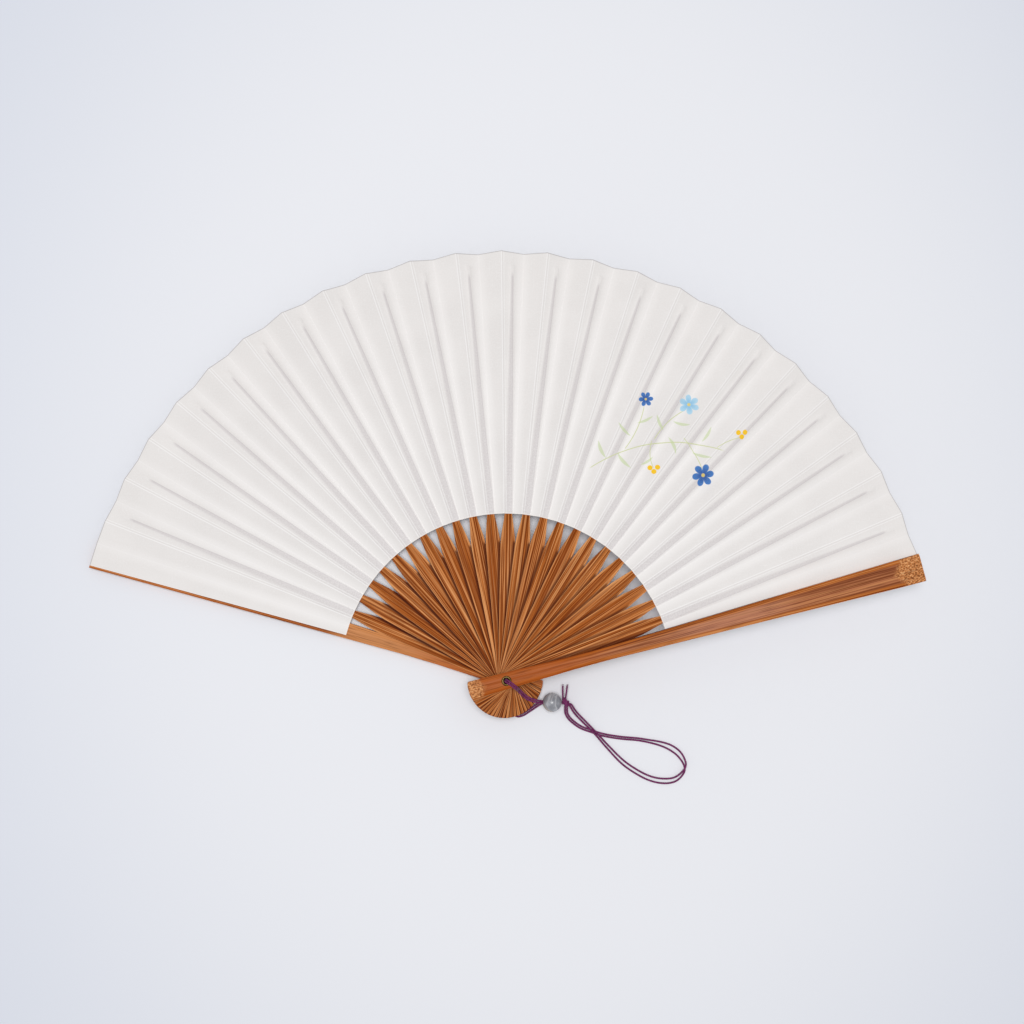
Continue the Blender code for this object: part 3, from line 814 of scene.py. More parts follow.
def make_strip_bamboo():
    """Oiled bamboo in fine light and dark lines, with painted highlights along its edges and a
    painted shadow beside the edge of the strip that lies on it.
    """
    s = Shader("bamboo_strip")
    along, across, _ = s.split(s.attribute("bone"))
    tone = s.attribute("tone", "Fac")
    fine, broad, pores = bamboo_fibres(s, along, across, s.times(tone, SEEDS))
    colour = s.tint(DARK_FIBRE, STRIP_TINT_SHARES, fine=fine, broad=broad)
    colour = s.blend(s.times(tone, TONE_SHARE), colour, DEEP_ORANGE)
    root = SLIVER_ROOT_WIDTH / 2
    half = s.step(along, SHOULDER_START, LEAF_INNER, STICK_WIDTH / 2, root)
    edge = s.less(half, s.abs(across))
    # Painted highlight, lighter in patches along both long edges
    worn = s.times(s.step(edge, EDGE_HIGHLIGHT_WIDTH, 0.0), s.step(broad, *EDGE_HIGHLIGHT_SHARES))
    colour = s.blend(s.times(worn, EDGE_HIGHLIGHT_SHARE), colour, LIGHT_FIBRE)
    # Painted shadow beside the edge of the next strip
    colour = s.blend(painted_shadow_mark(s, along, across), colour, SHADOW_BROWN)
    return finish_bamboo(s, colour, fine, pores, STICK_GLOSS)


def guard_face(s, along, fine, broad):
    """A plain face with a painted sheen that makes it paler along its middle."""
    face = s.tint(FACE_DARK, FACE_TINT_SHARES, fine=fine, broad=broad)
    # Painted sheen, paler along the middle of the face
    sheen = s.step(along, SHEEN_START, SHEEN_START + SHEEN_FADE, 0.0, SHEEN_SHARE)
    sheen = s.times(sheen, s.step(along, SHEEN_END, SHEEN_END - SHEEN_FADE))
    return s.blend(sheen, face, FACE_SHEEN)


def add_flanks(s, face, along, across):
    """Fine lines along a guard's two long edges."""
    waist = GUARD_WAIST_WIDTH / 2
    tail = s.line(along, -GUARD_TAIL, GUARD_WAIST, GUARD_TAIL_WIDTH / 2, waist)
    tip = s.line(along, GUARD_WAIST, GUARD_REACH, waist, GUARD_TIP_WIDTH / 2)
    edge = s.less(s.math("MAXIMUM", tail, tip), s.abs(across))
    side = s.times(s.math("SIGN", across), SEED_STEP)
    lines = s.streaks(along, edge, LINE_LENGTH, LINE_WIDTH, side)
    flank = s.tint(DARK_FIBRE, LINE_TINT_SHARES, lines=lines)
    near = s.step(edge, 2 * EDGE_BEVEL_WIDTH, EDGE_BEVEL_WIDTH)
    return s.blend(near, face, flank)


def make_guard_bamboo():
    """Polished bamboo, orange at the head and cut across at the ends. The rear guard is lighter
    between the head and the leaf."""
    s = Shader("bamboo_guard_finish")
    along, across, height = s.split(s.attribute("bone"))
    tone = s.attribute("tone", "Fac")
    fine, broad, pores = bamboo_fibres(s, along, across, s.times(tone, SEEDS))
    colour = add_flanks(s, guard_face(s, along, fine, broad), along, across)
    rear = s.step(tone, FRONT_TONE, REAR_TONE, 0.0, REAR_DEPTH_SHARE)
    rear = s.times(rear, s.step(along, REAR_END, LEAF_INNER))
    colour = s.blend(rear, colour, REAR_LIGHT)
    head = s.step(along, *HEAD_SPAN, 0.0, HEAD_DEPTH_SHARE)
    colour = s.blend(head, colour, HEAD_ORANGE)
    colour = add_end_grain(s, colour, along, across, height)
    return finish_bamboo(s, colour, fine, pores, GUARD_GLOSS)


def add_end_grain(s, colour, along, across, height):
    """Speckled cut fibres where a guard's outer face is bevelled down at its ends."""
    inward = s.abs(across)
    ragged = s.streaks(along, across, RAGGED_LENGTH, RAGGED_WIDTH, 0.0)
    bound = s.times(s.less(ragged, MIDDLE_SHARE), RAGGED_DEPTH)
    slant = s.times(inward, TIP_SLANT_SHARE)
    tip = s.less(along, s.add(slant, GUARD_REACH - TIP_GRAIN))
    slant = s.times(inward, TAIL_SLANT_SHARE)
    tail = s.less(TAIL_GRAIN - GUARD_TAIL, s.add(along, slant))
    cut = s.add(s.math("MAXIMUM", tip, tail), bound)
    cut = s.step(cut, -RAGGED_DEPTH / 2, RAGGED_DEPTH / 2)
    outer = s.abs(s.less(height, GUARD_THICK))
    cut = s.times(cut, s.step(outer, PLAY, 4 * PLAY))
    specks = s.streaks(along, across, SPECK_LENGTH, SPECK_WIDTH, SEED_STEP)
    return s.blend(cut, colour, s.tint(SPECK_DARK, SPECK_TINT_SHARES, specks=specks))


def dress_bone(bone, tone, ending, material, slot, rounding):
    """The CAD bone with softly rounded edges and the coordinates that its grain follows."""
    node = bone_body(bone)
    name = f"{node}_{ending}"
    mesh = bpy.data.meshes.new(name)
    body = bmesh.new()
    body.from_mesh(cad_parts[node].data)
    bmesh.ops.remove_doubles(body, verts=body.verts, dist=MERGE)
    flat = math.radians(FLAT_DEGREES)
    bmesh.ops.dissolve_limit(body, angle_limit=flat, verts=body.verts, edges=body.edges)
    body.to_mesh(mesh)
    body.free()
    places = [to_bone(bone, vertex.co) for vertex in mesh.vertices]
    write_vectors(mesh, "bone", places)
    write_numbers(mesh, "lift", [place.z - stick_height(bone, place.x) for place in places])
    write_numbers(mesh, "tone", [tone] * len(places))
    # How dark each strip's painted shadow is, from the rear guard's side to the front's
    shade = mix(FIRST_SHADOW_SHARE, LAST_SHADOW_SHARE, bone / LAST)
    write_numbers(mesh, "shade", [shade] * len(places))
    mesh.shade_smooth()
    made = add_piece(name, mesh, material, slot, node, node)
    bevel = made.modifiers.new("round", "BEVEL")
    bevel.width = rounding
    bevel.segments = ROUND_SEGMENTS
    bevel.limit_method = "ANGLE"
    bevel.angle_limit = math.radians(SHARP_DEGREES)
    made.modifiers.new("shade", "WEIGHTED_NORMAL").weight = FACE_WEIGHT


def make_bones():
    strip = ("strip", make_strip_bamboo(), "bamboo_stick", STICK_ROUND)
    guard = ("bone", make_guard_bamboo(), "bamboo_guard", GUARD_ROUND)
    dress_bone(0, REAR_TONE, *guard)
    dress_bone(LAST, FRONT_TONE, *guard)
    for bone in range(1, LAST):
        dress_bone(bone, (bone * GOLDEN_SHARE) % 1, *strip)


# Leaf

def leaf_rows():
    rows = [mix(LEAF_INNER, POCKET_REACH, row / LEAF_ROWS) for row in range(LEAF_ROWS + 1)]
    return rows + [POCKET_REACH + POCKET_END / 2, POCKET_REACH + POCKET_END, LEAF_OUTER]


def reach_out(bone, along, share):
    """High folds stand out at the outer edge and low ones draw in. The rear guard's panel
    reaches the guard's end."""
    start = POCKET_REACH + POCKET_END
    out_share = max(0.0, (along - start) / (LEAF_OUTER - start))
    if bone == 0:
        return (GUARD_REACH - LEAF_OUTER) * out_share
    return PLEAT_REACH * share * out_share


def panel_columns(along, swell):
    """Places across the panel on a bone, each with its share of the sliver's swelling."""
    fold = along * math.tan(HALF_PANEL)
    if not swell:
        return [(fold * share, 0.0) for share in PLAIN_COLUMN_SHARES]
    wall = sliver_width(along) / 2 + POCKET_WALL
    ramp = min(POCKET_RAMP * 2, (fold - wall) / 2)
    left = [(fold, 0.0), (mix(wall + ramp, fold, 0.5), 0.0), (wall + ramp, 0.0)]
    left += [(wall + ramp / 2, 0.5), (wall, 1.0), (wall / 2, 1.0)]
    return left + [(0.0, 1.0)] + [(-across, share) for across, share in reversed(left)]


def swell_share(along):
    return 1 - ease((along - POCKET_REACH) / POCKET_END)


def panel_point(bone, along, across, side, swelling):
    fold = along * math.tan(HALF_PANEL)
    share = across / fold
    thick = SLIVER_THICK / 2 + POCKET_PLAY + POCKET_WALL
    swollen = swelling * swell_share(along)
    half = mix(SHEET, thick, swollen)
    free = (1 - share * share) * (1 - swollen) * pleat_share(bone)
    wave = noise.noise(Vector((along / WAVE_LENGTH, share, bone * WAVE_SEED_STEP)))
    height = leaf_height(bone, along) + across * panel_slope(bone)
    height += side * half - free * PANEL_SAG + free * wave * PANEL_WAVE
    return from_bone(bone, along + reach_out(bone, along, share), across, height)


def grid_edges(grid):
    """A grid's first and last row, and its first and last column."""
    return grid[0], grid[-1], [row[0] for row in grid], [row[-1] for row in grid]


def panel_mesh(name, columns_at):
    """A closed thin panel. A column is a bone, a place across it, its share of the swelling
    and its distances from the panel's two folds."""
    body = bmesh.new()
    grids = [[], []]
    plans = []
    panels = []
    for along in leaf_rows():
        columns = columns_at(along)
        for grid, side in zip(grids, (1, -1)):
            grid.append([panel_point(b, along, a, side, share) for b, a, share, *_ in columns])
        plans += [Vector((point.x, point.y - PIVOT_Y, 0.0)) for point in grids[0][-1]]
        panels += [Vector((along, *column[-2:])) for column in columns]
    top, bottom = [[[body.verts.new(point) for point in row] for row in grid] for grid in grids]
    pairs = [*zip(top, top[1:]), *zip(bottom, bottom[1:])]
    for near, far in pairs + list(zip(grid_edges(top), grid_edges(bottom))):
        add_band(body, near, far, False)
    mesh = close_mesh(name, body)
    write_vectors(mesh, "plan", plans * 2)
    write_vectors(mesh, "panel", panels * 2)
    smooth(mesh, LEAF_DEGREES)
    return mesh


def make_panel_on_bone(bone, material):
    def columns_at(along):
        fold = along * math.tan(HALF_PANEL)
        columns = panel_columns(along, 0 < bone < LAST)
        return [(bone, across, share, fold - across, fold + across) for across, share in columns]

    name = f"leaf_on_bone_{bone:02d}"
    node = f"leaf_fold_{bone:02d}" if bone < LAST else "leaf_end_panel"
    mesh = panel_mesh(name, columns_at)
    return add_piece(name, mesh, material, "paper", bone_body(bone), node)


def make_panel_between(bone, material):
    """The panel from a bone's right fold to the next bone's left fold. It has points only on
    its folds."""

    def columns_at(along):
        fold = along * math.tan(HALF_PANEL)
        return (bone, -fold, 0.0, 2 * fold, 0.0), (bone + 1, fold, 0.0, 0.0, 2 * fold)

    name = f"leaf_between_{bone:02d}"
    made = add_piece(name, panel_mesh(name, columns_at), material, "paper", None)
    # Where the near bone's right fold meets the leaf's inner edge
    fold_turn = bone_angle(bone) - HALF_PANEL
    edge = Vector((math.cos(fold_turn), math.sin(fold_turn), 0)) * LEAF_INNER
    edge.y += PIVOT_Y
    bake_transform(made)
    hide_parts(f"leaf_fold_{bone:02d}")
    return made


# Painted spray

class Painting:
    """Flat shapes in thin paint, each laid over what is already there."""

    def __init__(self, shader, colour):
        self.shader = shader
        self.colour = colour
        plan = shader.attribute("plan")
        self.x, self.y, _ = shader.split(plan)
        self.grain = shader.noise(plan, PAINT_GRAIN_SCALE)

    def lay(self, mask, colour, strength):
        """Paint sinks into the paper unevenly."""
        s = self.shader
        thin = s.step(self.grain, *PAINT_GRAIN_SHARES, strength * PAINT_THIN_SHARE, strength)
        self.colour = s.blend(s.times(mask, thin), self.colour, colour)

    def local(self, centre, turn):
        """Coordinates about a centre, turned by an angle."""
        s = self.shader
        x = s.less(self.x, centre[0])
        y = s.less(self.y, centre[1])
        along = s.add(s.times(x, math.cos(turn)), s.times(y, math.sin(turn)))
        across = s.less(s.times(y, math.cos(turn)), s.times(x, math.sin(turn)))
        return along, across

    def stroke(self, start, end, bow, width, colour, strength, tapered):
        """A curved brush stroke, even in width or widest in the middle."""
        s = self.shader
        run = Vector(end) - Vector(start)
        along, across = self.local(start, math.atan2(run.y, run.x))
        share = s.math("DIVIDE", along, run.length)
        arch = s.times(s.times(share, s.less(1.0, share)), 4)
        off = s.abs(s.less(across, s.times(arch, bow)))
        half = s.times(arch, width / 2) if tapered else width / 2
        soft = width * STROKE_SOFT_SHARE
        mask = s.step(s.less(off, half), soft, -soft)
        if tapered:
            ends = s.step(arch, *BLADE_END_SHARES)
        else:
            ends = s.times(s.step(share, *STROKE_START_SHARES), s.step(share, *STROKE_END_SHARES))
        self.lay(s.times(mask, ends), colour, strength)

    def disc(self, centre, radius, edge_shares, colour, strength):
        s = self.shader
        share = s.math("DIVIDE", s.distance(*self.local(centre, 0.0)), radius)
        self.lay(s.step(share, *edge_shares), colour, strength)

    def blossom(self, centre, radius, turn, rim, heart):
        """Round petals, deeper in colour towards the middle."""
        s = self.shader
        along, across = self.local(centre, turn)
        angle = s.math("ARCTAN2", across, along)
        lobe = s.abs(s.math("COSINE", s.times(angle, PETALS / 2)))
        lobe = s.math("POWER", lobe, PETAL_POWER)
        lobe = s.add(s.times(lobe, radius * (1 - NOTCH_SHARE)), radius * NOTCH_SHARE)
        share = s.math("DIVIDE", s.distance(along, across), lobe)
        veins = s.abs(s.math("SINE", s.times(angle, PETALS * PETAL_VEINS / 2)))
        veins = s.add(s.times(veins, VEIN_DEPTH_SHARE), 1 - VEIN_DEPTH_SHARE)
        shade = s.times(s.step(share, *PETAL_SHADE_SHARES), veins)
        mask = s.step(share, *PETAL_EDGE_SHARES)
        self.lay(mask, s.blend(shade, rim, heart), PETAL_PAINT_SHARE)
        self.disc(centre, radius, HEART_EDGE_SHARES, HEART, HEART_PAINT_SHARE)


def paint_spray(shader, colour):
    """A plain arching spray: one long stem, side stems, oval leaves, blossoms and berries."""
    art = Painting(shader, colour)
    for stem in STEMS:
        art.stroke(*stem, STEM, STEM_PAINT_SHARE, False)
    for blade in BLADES:
        art.stroke(*blade, BLADE, BLADE_PAINT_SHARE, True)
    for blossom in BLOSSOMS:
        art.blossom(*blossom)
    for place in BERRIES:
        art.disc(place, BERRY_RADIUS, BERRY_EDGE_SHARES, YELLOW, 1.0)
    return art.colour


# Paper

def make_paper(name, on_bone, painted):
    """Matt paper of two pasted sheets, with creases, slivers that show through it, and
    painted light near the valleys.
    """
    s = Shader(name)
    plan = s.attribute("plan")
    along, ridge, valley = s.split(s.attribute("panel"))
    x, y, _ = s.split(plan)
    cloud = s.noise(plan, CLOUD_SCALE, FINE_DETAIL)
    fleck = s.noise(plan, FLECK_SCALE, FINE_DETAIL, FLECK_ROUGH)
    hairs = [s.grain(x, y, scales, rough=HAIR_ROUGH) for scales in HAIR_SCALES]
    hairs = s.math("MAXIMUM", *[s.step(hair, *HAIR_SHARES) for hair in hairs])
    # Painted light: paler near each valley, full up to the leaf's middle and weaker towards its
    # outer edge
    middle = mix(LEAF_INNER, LEAF_OUTER, VALLEY_LIGHT_MIDDLE_SHARE)
    near = s.line(along, middle, LEAF_OUTER, *VALLEY_LIGHT_SHARES)
    flank = s.times(s.step(valley, *VALLEY_LIGHT_SPAN), near)
    marks = {"cloud": cloud, "fleck": fleck, "hairs": hairs, "flank": flank}
    colour = s.tint(PAPER_GREY, PAPER_TINT_SHARES, **marks)
    if on_bone:
        colour = show_sliver(s, colour, along, ridge, valley, fleck)
    colour = show_crease_wear_and_highlight(s, colour, ridge, valley, fleck, on_bone)
    if painted:
        colour = paint_spray(s, colour)
    rim = s.step(s.less(LEAF_OUTER, along), *RIM_SPAN)
    hem = s.step(s.less(along, LEAF_INNER), *HEM_SPAN)
    s.finish(s.tint(colour, EDGE_TINT_SHARES, rim=rim, hem=hem), PAPER_ROUGH, PAPER_GLOSS)
    s.bump(s.add(s.times(hairs, HAIR_RELIEF_SHARE), fleck), *PAPER_RELIEF)
    return s.material


def show_sliver(s, colour, along, ridge, valley, fleck):
    """The bone's sliver shows through the sheet as a soft grey band, sharper on its right, where
    a painted shadow line runs along its edge.
    """

    def along_sliver(root, tip):
        return s.line(along, LEAF_INNER, SLIVER_REACH, root, tip)

    off = s.times(s.less(ridge, valley), 1 / 2)
    half = along_sliver(SLIVER_ROOT_WIDTH / 2, SLIVER_TIP_WIDTH / 2)
    inside = s.less(half, s.abs(off))
    reach = s.step(along, BAND_END, BAND_END - BAND_FADE)
    left = s.times(half, BAND_LEFT_SHARE)
    soft = s.step(off, s.times(half, -1.0), half, left, SLIVER_SHADOW_WIDTH / 2)
    band = s.times(s.step(inside, s.times(soft, BAND_OUT_SHARE), soft), reach)
    worn = along_sliver(*BAND_WORN_SHARES)
    band = s.times(band, s.step(fleck, *BAND_FLECK_SHARES, 1.0, worn))
    # Painted shadow line along the sliver's right edge, where it stands up under the sheet
    lip = s.abs(s.less(off, s.less(half, SLIVER_SHADOW_WIDTH / 2)))
    edge = s.times(s.step(lip, SLIVER_SHADOW_WIDTH, 0.0), reach)
    edge = s.times(edge, along_sliver(*SLIVER_SHADOW_SHARES))
    return s.tint(colour, BAND_TINT_SHARES, band=band, edge=edge)


def show_crease_wear_and_highlight(s, colour, ridge, valley, fleck, on_bone):
    """White lines beside the folds, partly crease wear in the paper and partly painted highlight
    where the fold is rounded. On a bone's panel a second one lies beside the line at the ridge,
    and a faint grey one between the two."""

    def line_at(place, core):
        return s.step(s.abs(s.less(ridge, place)), CREASE_WIDTH, core)

    second = line_at(CREASE_STEP, CREASE_WIDTH / 3)
    marks = {
        "groove": s.step(valley, 2 * CREASE_WIDTH, 0.0),
        "between": line_at(CREASE_STEP / 2, 0.0),
        "second": s.times(second, s.step(fleck, *CREASE_FLECK_SHARES)),
        "crest": s.step(ridge, CREASE_WIDTH, CREASE_WIDTH / 3),
    }
    rows = CREASE_TINT_SHARES if on_bone else (CREASE_TINT_SHARES[0], CREASE_TINT_SHARES[-1])
    return s.tint(colour, rows, **marks)


def make_leaf():
    papers = {}
    for on_bone in (True, False):
        for painted in (True, False):
            name = "paper_on_bone" if on_bone else "paper_between"
            name += "_painted" if painted else ""
            papers[on_bone, painted] = make_paper(name, on_bone, painted)
    for bone in range(BONES):
        painted = FIRST_PAINTED <= bone <= LAST_PAINTED
        make_panel_on_bone(bone, papers[0 < bone < LAST, painted])
        if bone < LAST:
            make_panel_between(bone, papers[False, painted])


# Eyelet

def eyelet_top():
    return front_seat(0) + GUARD_THIN + PLAY + FLANGE_THICK


def eyelet_bottom():
    return GUARD_THICK - GUARD_THIN - PLAY - FLANGE_THICK


def flange_profile(crest, seat):
    """The rolled lip from the bore over its crest to the flange's rim."""
    bore = EYELET_BORE / 2
    rim = EYELET_FLANGE / 2
    points = []
    for step in range(RIM_STEPS + 1):
        turn = math.pi * (1 - step / RIM_STEPS)
        radius = mix(bore, rim, (1 + math.cos(turn)) / 2)
        points.append((radius, mix(seat, crest, math.sin(turn))))
    return points


def make_brass():
    s = Shader("aged_brass")
    patina = s.noise(s.attribute("place"), BRASS_SCALE, FINE_DETAIL)
    colour = s.tint(BRASS_DARK, BRASS_TINT_SHARES, patina=patina)
    s.finish(colour, s.step(patina, *BRASS_ROUGH_SHARES))
    s.set("Metallic", 1.0)
    s.bump(patina, *BRASS_RELIEF)
    return s.material


def make_eyelet():
    top = eyelet_top()
    bottom = eyelet_bottom()
    tube = EYELET_TUBE / 2
    profile = flange_profile(top, top - FLANGE_THICK)
    profile += [(tube, top - FLANGE_THICK), (tube, bottom + FLANGE_THICK)]
    profile += list(reversed(flange_profile(bottom, bottom + FLANGE_THICK)))
    mesh = lathe_mesh("eyelet_ring", profile, RING_STEPS)
    for vertex in mesh.vertices:
        vertex.co.y += PIVOT_Y
    smooth(mesh, EYELET_DEGREES)
    write_vectors(mesh, "place", [vertex.co.copy() for vertex in mesh.vertices])
    return add_piece("eyelet_ring", mesh, make_brass(), "brass", "rear_guard", "eyelet")


# Bead

def bead_centre():
    return Vector((BEAD_OUT, PIVOT_Y - BEAD_DOWN, BEAD / 2))


def make_stone():
    """Grey-blue stone with bent white and dark veins, and brown at its lower left."""
    s = Shader("polished_stone")
    place = s.attribute("place")
    x, y, z = s.split(place)
    cloud = s.noise(place, STONE_SCALE, FINE_DETAIL)
    bow = s.times(s.times(y, y), 1 / BEAD)
    bent = s.add(s.less(x, bow), s.times(s.less(cloud, MIDDLE_SHARE), BEAD / 8))
    vein = s.streaks(y, bent, BEAD, BEAD / 12, s.times(z, 2 / BEAD), FINE_DETAIL)
    low = s.times(s.add(s.add(x, y), z), 1 / BEAD)
    colour = s.tint(STONE_DARK, STONE_TINT_SHARES, cloud=cloud, vein=vein, low=low)
    s.finish(colour, s.step(cloud, *STONE_ROUGH_SHARES))
    s.set("Coat Weight", STONE_COAT)
    s.bump(vein, *STONE_RELIEF)
    return s.material


def make_bead():
    radius = BEAD / 2
    start = math.asin(BEAD_BORE / BEAD)
    profile = []
    for step in range(BEAD_ARCS + 1):
        turn = mix(start, math.pi - start, step / BEAD_ARCS)
        profile.append((radius * math.sin(turn), radius * math.cos(turn)))
    mesh = lathe_mesh("bead_stone", profile, RING_STEPS)
    mesh.transform(Euler((0, math.pi / 2, 0)).to_matrix().to_4x4())
    write_vectors(mesh, "place", [vertex.co.copy() for vertex in mesh.vertices])
    for vertex in mesh.vertices:
        vertex.co += bead_centre()
    smooth(mesh, BEAD_DEGREES)
    return add_piece("bead_stone", mesh, make_stone(), "stone", "bead", "bead")


# Cord

def smooth_path(points, spacing):
    """Points evenly spaced along a smooth curve through the given points."""
    ends = [2 * points[0] - points[1], *points, 2 * points[-1] - points[-2]]
    fine = [points[0]]
    for a, b, c, d in zip(ends, ends[1:], ends[2:], ends[3:]):
        for step in range(1, SMOOTH_STEPS + 1):
            t = step / SMOOTH_STEPS
            bend = (2 * a - 5 * b + 4 * c - d) * t * t + (3 * b - a - 3 * c + d) * t ** 3
            fine.append(b + ((c - a) * t + bend) / 2)
    lengths = [(after - before).length for before, after in zip(fine, fine[1:])]
    count = round(sum(lengths) / spacing)
    stride = sum(lengths) / count
    path = [fine[0]]
    run = 0.0
    for start, end, length in zip(fine, fine[1:], lengths):
        while len(path) < count and run + length >= len(path) * stride:
            share = (len(path) * stride - run) / length
            path.append(start.lerp(end, share))
        run += length
    path.append(fine[-1])
    return path


def knot_start():
    bore = BEAD_BORE / 2
    face = math.sqrt((BEAD / 2) ** 2 - bore ** 2)
    return bead_centre() + (face + FACE_GAP) * ALONG


def on_circle(turn, first, second):
    """The direction at that turn from the first direction towards the second."""
    return math.cos(turn) * first + math.sin(turn) * second


def straight(start, end, steps):
    return [start.lerp(end, step / steps) for step in range(steps + 1)]


def pair_offset(turn_share, side):
    """Half the step between the two strands, when the pair has made that much of a half turn."""
    return on_circle(math.pi * turn_share, ALONG, ACROSS) * side * CORD_SPACING / 2


def neck_place(out_share, side_share):
    """Shares of the way from the pivot to the bead's left face, and to the left of it."""
    reach = Vector((BEAD_OUT - BEAD / 2, -BEAD_DOWN, 0))
    return reach * out_share + Vector((-reach.y, reach.x, 0)) * side_share


def neck_points(rows, low, high, side):
    """Points from rows of two shares of the way, one of the climb and one of the half turn."""
    points = []
    for out_share, side_share, rise_share, turn_share in rows:
        place = neck_place(out_share, side_share) + pair_offset(turn_share, side)
        points.append(place + mix(low, high, rise_share) * UP)
    return points


def quarter_turn(end, way, side):
    """From lying across the eyelet to standing in its bore. Way is -1 from underneath."""
    heading, level, turn_share = end
    points = []
    for quarter_share in QUARTER_SHARES:
        turn = math.pi / 2 * quarter_share
        out = CORD_TURN * (1 - math.cos(turn)) - CORD_OFF_AXIS
        height = level - way * CORD_TURN * (1 - math.sin(turn))
        points.append(heading * out + pair_offset(turn_share, side) + height * UP)
    return points


def bore_points(upper, lower, side):
    """Down the eyelet. An end is a direction, a height and a share of the pair's half turn."""
    points = quarter_turn(upper, 1, side)
    for bore_share in BORE_SHARES:
        heading = lower[0].lerp(upper[0], bore_share).normalized()
        height = mix(lower[1] + CORD_TURN, upper[1] - CORD_TURN, bore_share)
        turn_share = mix(lower[2], upper[2], bore_share)
        points.append(pair_offset(turn_share, side) - heading * CORD_OFF_AXIS + height * UP)
    points += reversed(quarter_turn(lower, -1, side))
    return points


def neck_path(side):
    """One strand: from the bead over the head, down the eyelet, under the head and back."""
    centre = bead_centre()
    high = centre.z + CORD_SPACING / 2
    low = centre.z - CORD_SPACING / 2
    rim = GUARD_THICK + RIM_STICKS * STICK_LAYER + CORD / 2 + PLAY
    drop = GUARD_THICK + DROP_STICKS * STICK_LAYER + CORD / 2 + PLAY
    over = eyelet_top() + CORD / 2 + PLAY
    under = CORD / 2 + PLAY / 2
    upper = (neck_place(1, 0).normalized(), over, GUARD_SHARES[-1][3])
    lower = (neck_place(*UNDER_SHARES[0][:2]).normalized(), under, UNDER_SHARES[0][3])
    route = neck_points(LEAD_SHARES, high, rim, side)
    route += neck_points(RIM_SHARES, rim, drop, side)
    route += neck_points(GUARD_SHARES, drop, over, side)
    route += bore_points(upper, lower, side)
    route += neck_points(UNDER_SHARES, under, low, side)
    mouth = math.sqrt((BEAD / 2) ** 2 - (BEAD_BORE / 2) ** 2)
    beside = centre.y + side * CORD_SPACING / 2
    inside = [centre.x + mouth * mouth_share for mouth_share in MOUTH_SHARES]
    first = [Vector((x, beside, high)) for x in inside]
    last = [Vector((x, beside, low)) for x in reversed(inside)]
    return [*first, *(place + PIVOT_Y * ACROSS for place in route), *last]


def loop_path(side):
    """One strand of the doubled loop, out from the knot, round and back to it."""
    start = knot_start() + (KNOT_LENGTH + FACE_GAP) * ALONG
    middle = [LOOP_REACH * (row[0] * ALONG + row[1] * ACROSS) for row in LOOP_SHARES]
    swap = max(range(len(middle)), key=lambda here: middle[here].x)
    points = []
    for here, (_, _, spread_share, cords_under, over_share) in enumerate(LOOP_SHARES):
        run = middle[min(here + 1, len(middle) - 1)] - middle[max(here - 1, 0)]
        beside = Vector((-run.y, run.x, 0)).normalized() * side
        if here > swap:
            beside = -beside
        gap = mix(CORD_SPACING, LOOP_SPREAD, spread_share) / 2
        height = CORD / 2 + PLAY / 2 + cords_under * CORD
        if side > 0:
            height += over_share * CORD_SPACING
        place = middle[here] + beside * gap
        points.append(Vector((start.x + place.x, start.y + place.y, height)))
    return smooth_path(points, CORD_STEP)


def rope_rings(path, diameter):
    """Rings of a twisted cord along a path, and the coordinates that its fibres follow."""
    rings = []
    lays = []
    ahead = (path[1] - path[0]).normalized()
    side = ahead.orthogonal().normalized()
    run = 0.0
    for here, point in enumerate(path):
        before = path[max(here - 1, 0)]
        after = path[min(here + 1, len(path) - 1)]
        ahead = (after - before).normalized()
        side = (side - side.dot(ahead) * ahead).normalized()
        other = ahead.cross(side)
        run += (point - before).length
        twist = 2 * math.pi * run / ROPE_PITCH
        ring = []
        for step in range(ROPE_SIDES):
            turn = 2 * math.pi * step / ROPE_SIDES
            groove = (1 - math.cos(ROPE_PLIES * (turn - twist))) / 2
            radius = diameter / 2 * (1 - ROPE_GROOVE_SHARE * groove)
            ring.append(point + radius * on_circle(turn, side, other))
            lays.append(Vector((run, (turn - twist) * diameter / 2, groove)))
        rings.append(ring)
    return rings, lays


def rope_mesh(name, lines):
    """One mesh of twisted cords, each along a line of points and with its own diameter."""
    ropes = [rope_rings(path, diameter) for path, diameter in lines]
    mesh = rings_mesh(name, [rings for rings, _ in ropes])
    write_vectors(mesh, "lay", [lay for _, lays in ropes for lay in lays])
    smooth(mesh, CORD_DEGREES)
    return mesh


def make_strand(part, letter, route, material):
    """A free strand of the cord."""
    name = f"{part}_cord_{letter}"
    path = smooth_path(route, ROPE_STEP)
    mesh = rope_mesh(name, [(path, CORD)])
    made = add_piece(name, mesh, material, "cord", "rear_guard", f"{part}_strand_{letter}")


def winding(start):
    """The turns of cord that hold the strands together."""
    outer = KNOT_WIDTH / 2 - CORD / 2
    slant = outer * KNOT_SLANT_SHARE
    count = round(KNOT_TURNS * KNOT_ARCS)
    points = []
    for step in range(count + 1):
        share = step / count
        turn = 2 * math.pi * KNOT_TURNS * share
        wide = outer * mix(KNOT_END_SHARE, 1.0, math.sin(math.pi * share))
        out = mix(CORD / 2 + slant, KNOT_LENGTH - CORD / 2 - slant, share)
        out -= slant * math.cos(turn)
        points.append(start + out * ALONG + wide * on_circle(turn, ACROSS, UP))
    return points


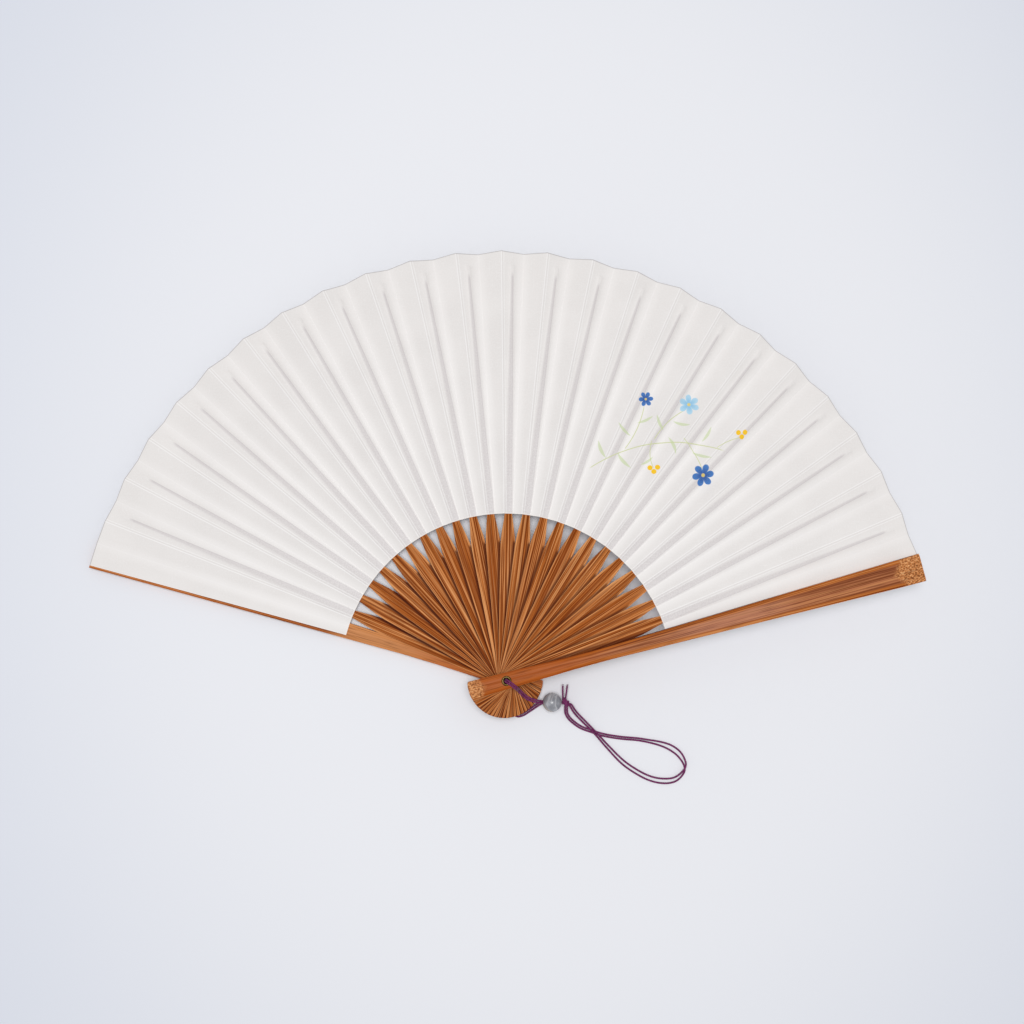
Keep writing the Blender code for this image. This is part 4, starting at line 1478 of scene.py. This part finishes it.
def tail_lines(start):
    """The two tails, each with a brush of frayed hairs at its tip."""
    foot = start + (CORD + PLAY) * ALONG
    end = foot + TAIL_LEAN * ALONG + (KNOT_WIDTH / 2 + TAIL_LENGTH - FRAY_LENGTH) * ACROSS
    lines = []
    for side in (-1, 1):
        root = foot + side * CORD_SPACING / 2 * ALONG
        tip = end + side * TAIL_SPREAD / 2 * ALONG
        lines.append((straight(root, tip, TAIL_STEPS), CORD * TAIL_SLIM_SHARE))
        for hair in range(FRAY_HAIRS):
            out = CORD * on_circle(2 * math.pi * hair / FRAY_HAIRS + side, ALONG, UP)
            spread_share = FRAY_SPREAD_SHARES[hair % len(FRAY_SPREAD_SHARES)]
            near = tip + out * FRAY_ROOT_SHARE - ACROSS * FRAY_LENGTH * FRAY_BACK_SHARE
            far = tip + out * spread_share + ACROSS * FRAY_LENGTH
            lines.append((straight(near, far, FRAY_STEPS), FRAY_WIDTH))
    return lines


def make_knot(material):
    """A cord wound round its own strands and drawn tight, with two short frayed tails."""
    start = knot_start()
    lines = [(winding(start), CORD)]
    for strand in range(CORE_STRANDS):
        turn = 2 * math.pi * strand / CORE_STRANDS + CORE_TURN
        root = start + CORD_SPACING * CORE_SPREAD_SHARE * on_circle(turn, ACROSS, UP)
        lines.append((straight(root, root + KNOT_LENGTH * ALONG, CORE_STEPS), CORD))
    heart = start + KNOT_LENGTH / 2 * ALONG
    for side in (-1, 1):
        route = loop_path(side)
        for leaving in (route[0], route[-1]):
            lines.append((straight(leaving, heart, TAIL_STEPS), CORD))
    mesh = rope_mesh("knot_wraps", lines + tail_lines(start))
    return add_piece("knot_wraps", mesh, material, "cord", "rear_guard", "knot")


def make_thread():
    """Fine silky fibres that follow the cord's twist, and painted shade in the grooves between
    its plies.
    """
    s = Shader("purple_thread")
    run, around, groove = s.split(s.attribute("lay"))
    fibre = s.grain(run, around, THREAD_SCALES, FINE_DETAIL, THREAD_GRAIN_ROUGH)
    worn = s.grain(run, around, THREAD_WORN_SCALES)
    colour = s.tint(THREAD_DARK, THREAD_TINT_SHARES, fibre=fibre, worn=worn, groove=groove)
    s.finish(colour, s.step(fibre, *THREAD_ROUGH_SHARES), THREAD_GLOSS)
    s.set("Sheen Weight", THREAD_SHEEN)
    s.bump(fibre, *THREAD_RELIEF)
    return s.material


def make_cords():
    thread = make_thread()
    on_it = [make_bead(), make_knot(thread)]
    for letter, side in (("a", 1), ("b", -1)):
        for part, path_of in (("neck", neck_path), ("loop", loop_path)):
            make_strand(part, letter, path_of(side), thread)
            on_it = []


# Stage

def make_camera():
    held = bpy.data.cameras.new("camera")
    held.lens = CAMERA_LENS
    camera = add_object("camera", held)
    camera.location = CAMERA_PLACE
    camera.rotation_euler = [math.radians(turn) for turn in CAMERA_TURN]
    bpy.context.scene.camera = camera


def make_lamps():
    world = bpy.data.worlds.new("sky")
    world.use_nodes = True
    sky = world.node_tree.nodes["Background"]
    sky.inputs["Color"].default_value = (*SKY_COLOUR, 1.0)
    sky.inputs["Strength"].default_value = SKY_STRENGTH
    bpy.context.scene.world = world
    held = bpy.data.lights.new("key", "AREA")
    held.energy = KEY_POWER
    held.size = KEY_SIZE
    key = add_object("key", held)
    key.location = KEY_PLACE
    key.rotation_euler = (-Vector(KEY_PLACE)).to_track_quat("-Z", "Y").to_euler()


def make_floor():
    half = FLOOR_SIZE / 2
    mesh = bpy.data.meshes.new("floor")
    corners = [(-half, -half, 0), (half, -half, 0), (half, half, 0), (-half, half, 0)]
    mesh.from_pydata(corners, [], [(0, 1, 2, 3)])
    floor = add_object("floor", mesh)
    s = Shader("floor_finish")
    write_vectors(mesh, "place", [vertex.co.copy() for vertex in mesh.vertices])
    place = s.attribute("place")
    x, y, _ = s.split(place)
    x = s.less(x, FLOOR_CENTRE)
    y = s.times(y, FLOOR_SLIM_SHARE)
    # Painted shade, darker away from the middle
    far = s.step(s.distance(x, y), FLOOR_FALL_START, FLOOR_FALL_END)
    s.finish(s.blend(far, FLOOR_MIDDLE, FLOOR_EDGE_SHADE), FLOOR_ROUGH, FLOOR_GLOSS)
    s.bump(s.noise(place, FLOOR_GRAIN_SCALE), *FLOOR_RELIEF)
    mesh.materials.append(s.material)


make_camera()
make_lamps()
make_floor()
make_cords()
make_bones()
make_leaf()
make_eyelet()

bpy.context.scene.view_settings.view_transform = "Standard"
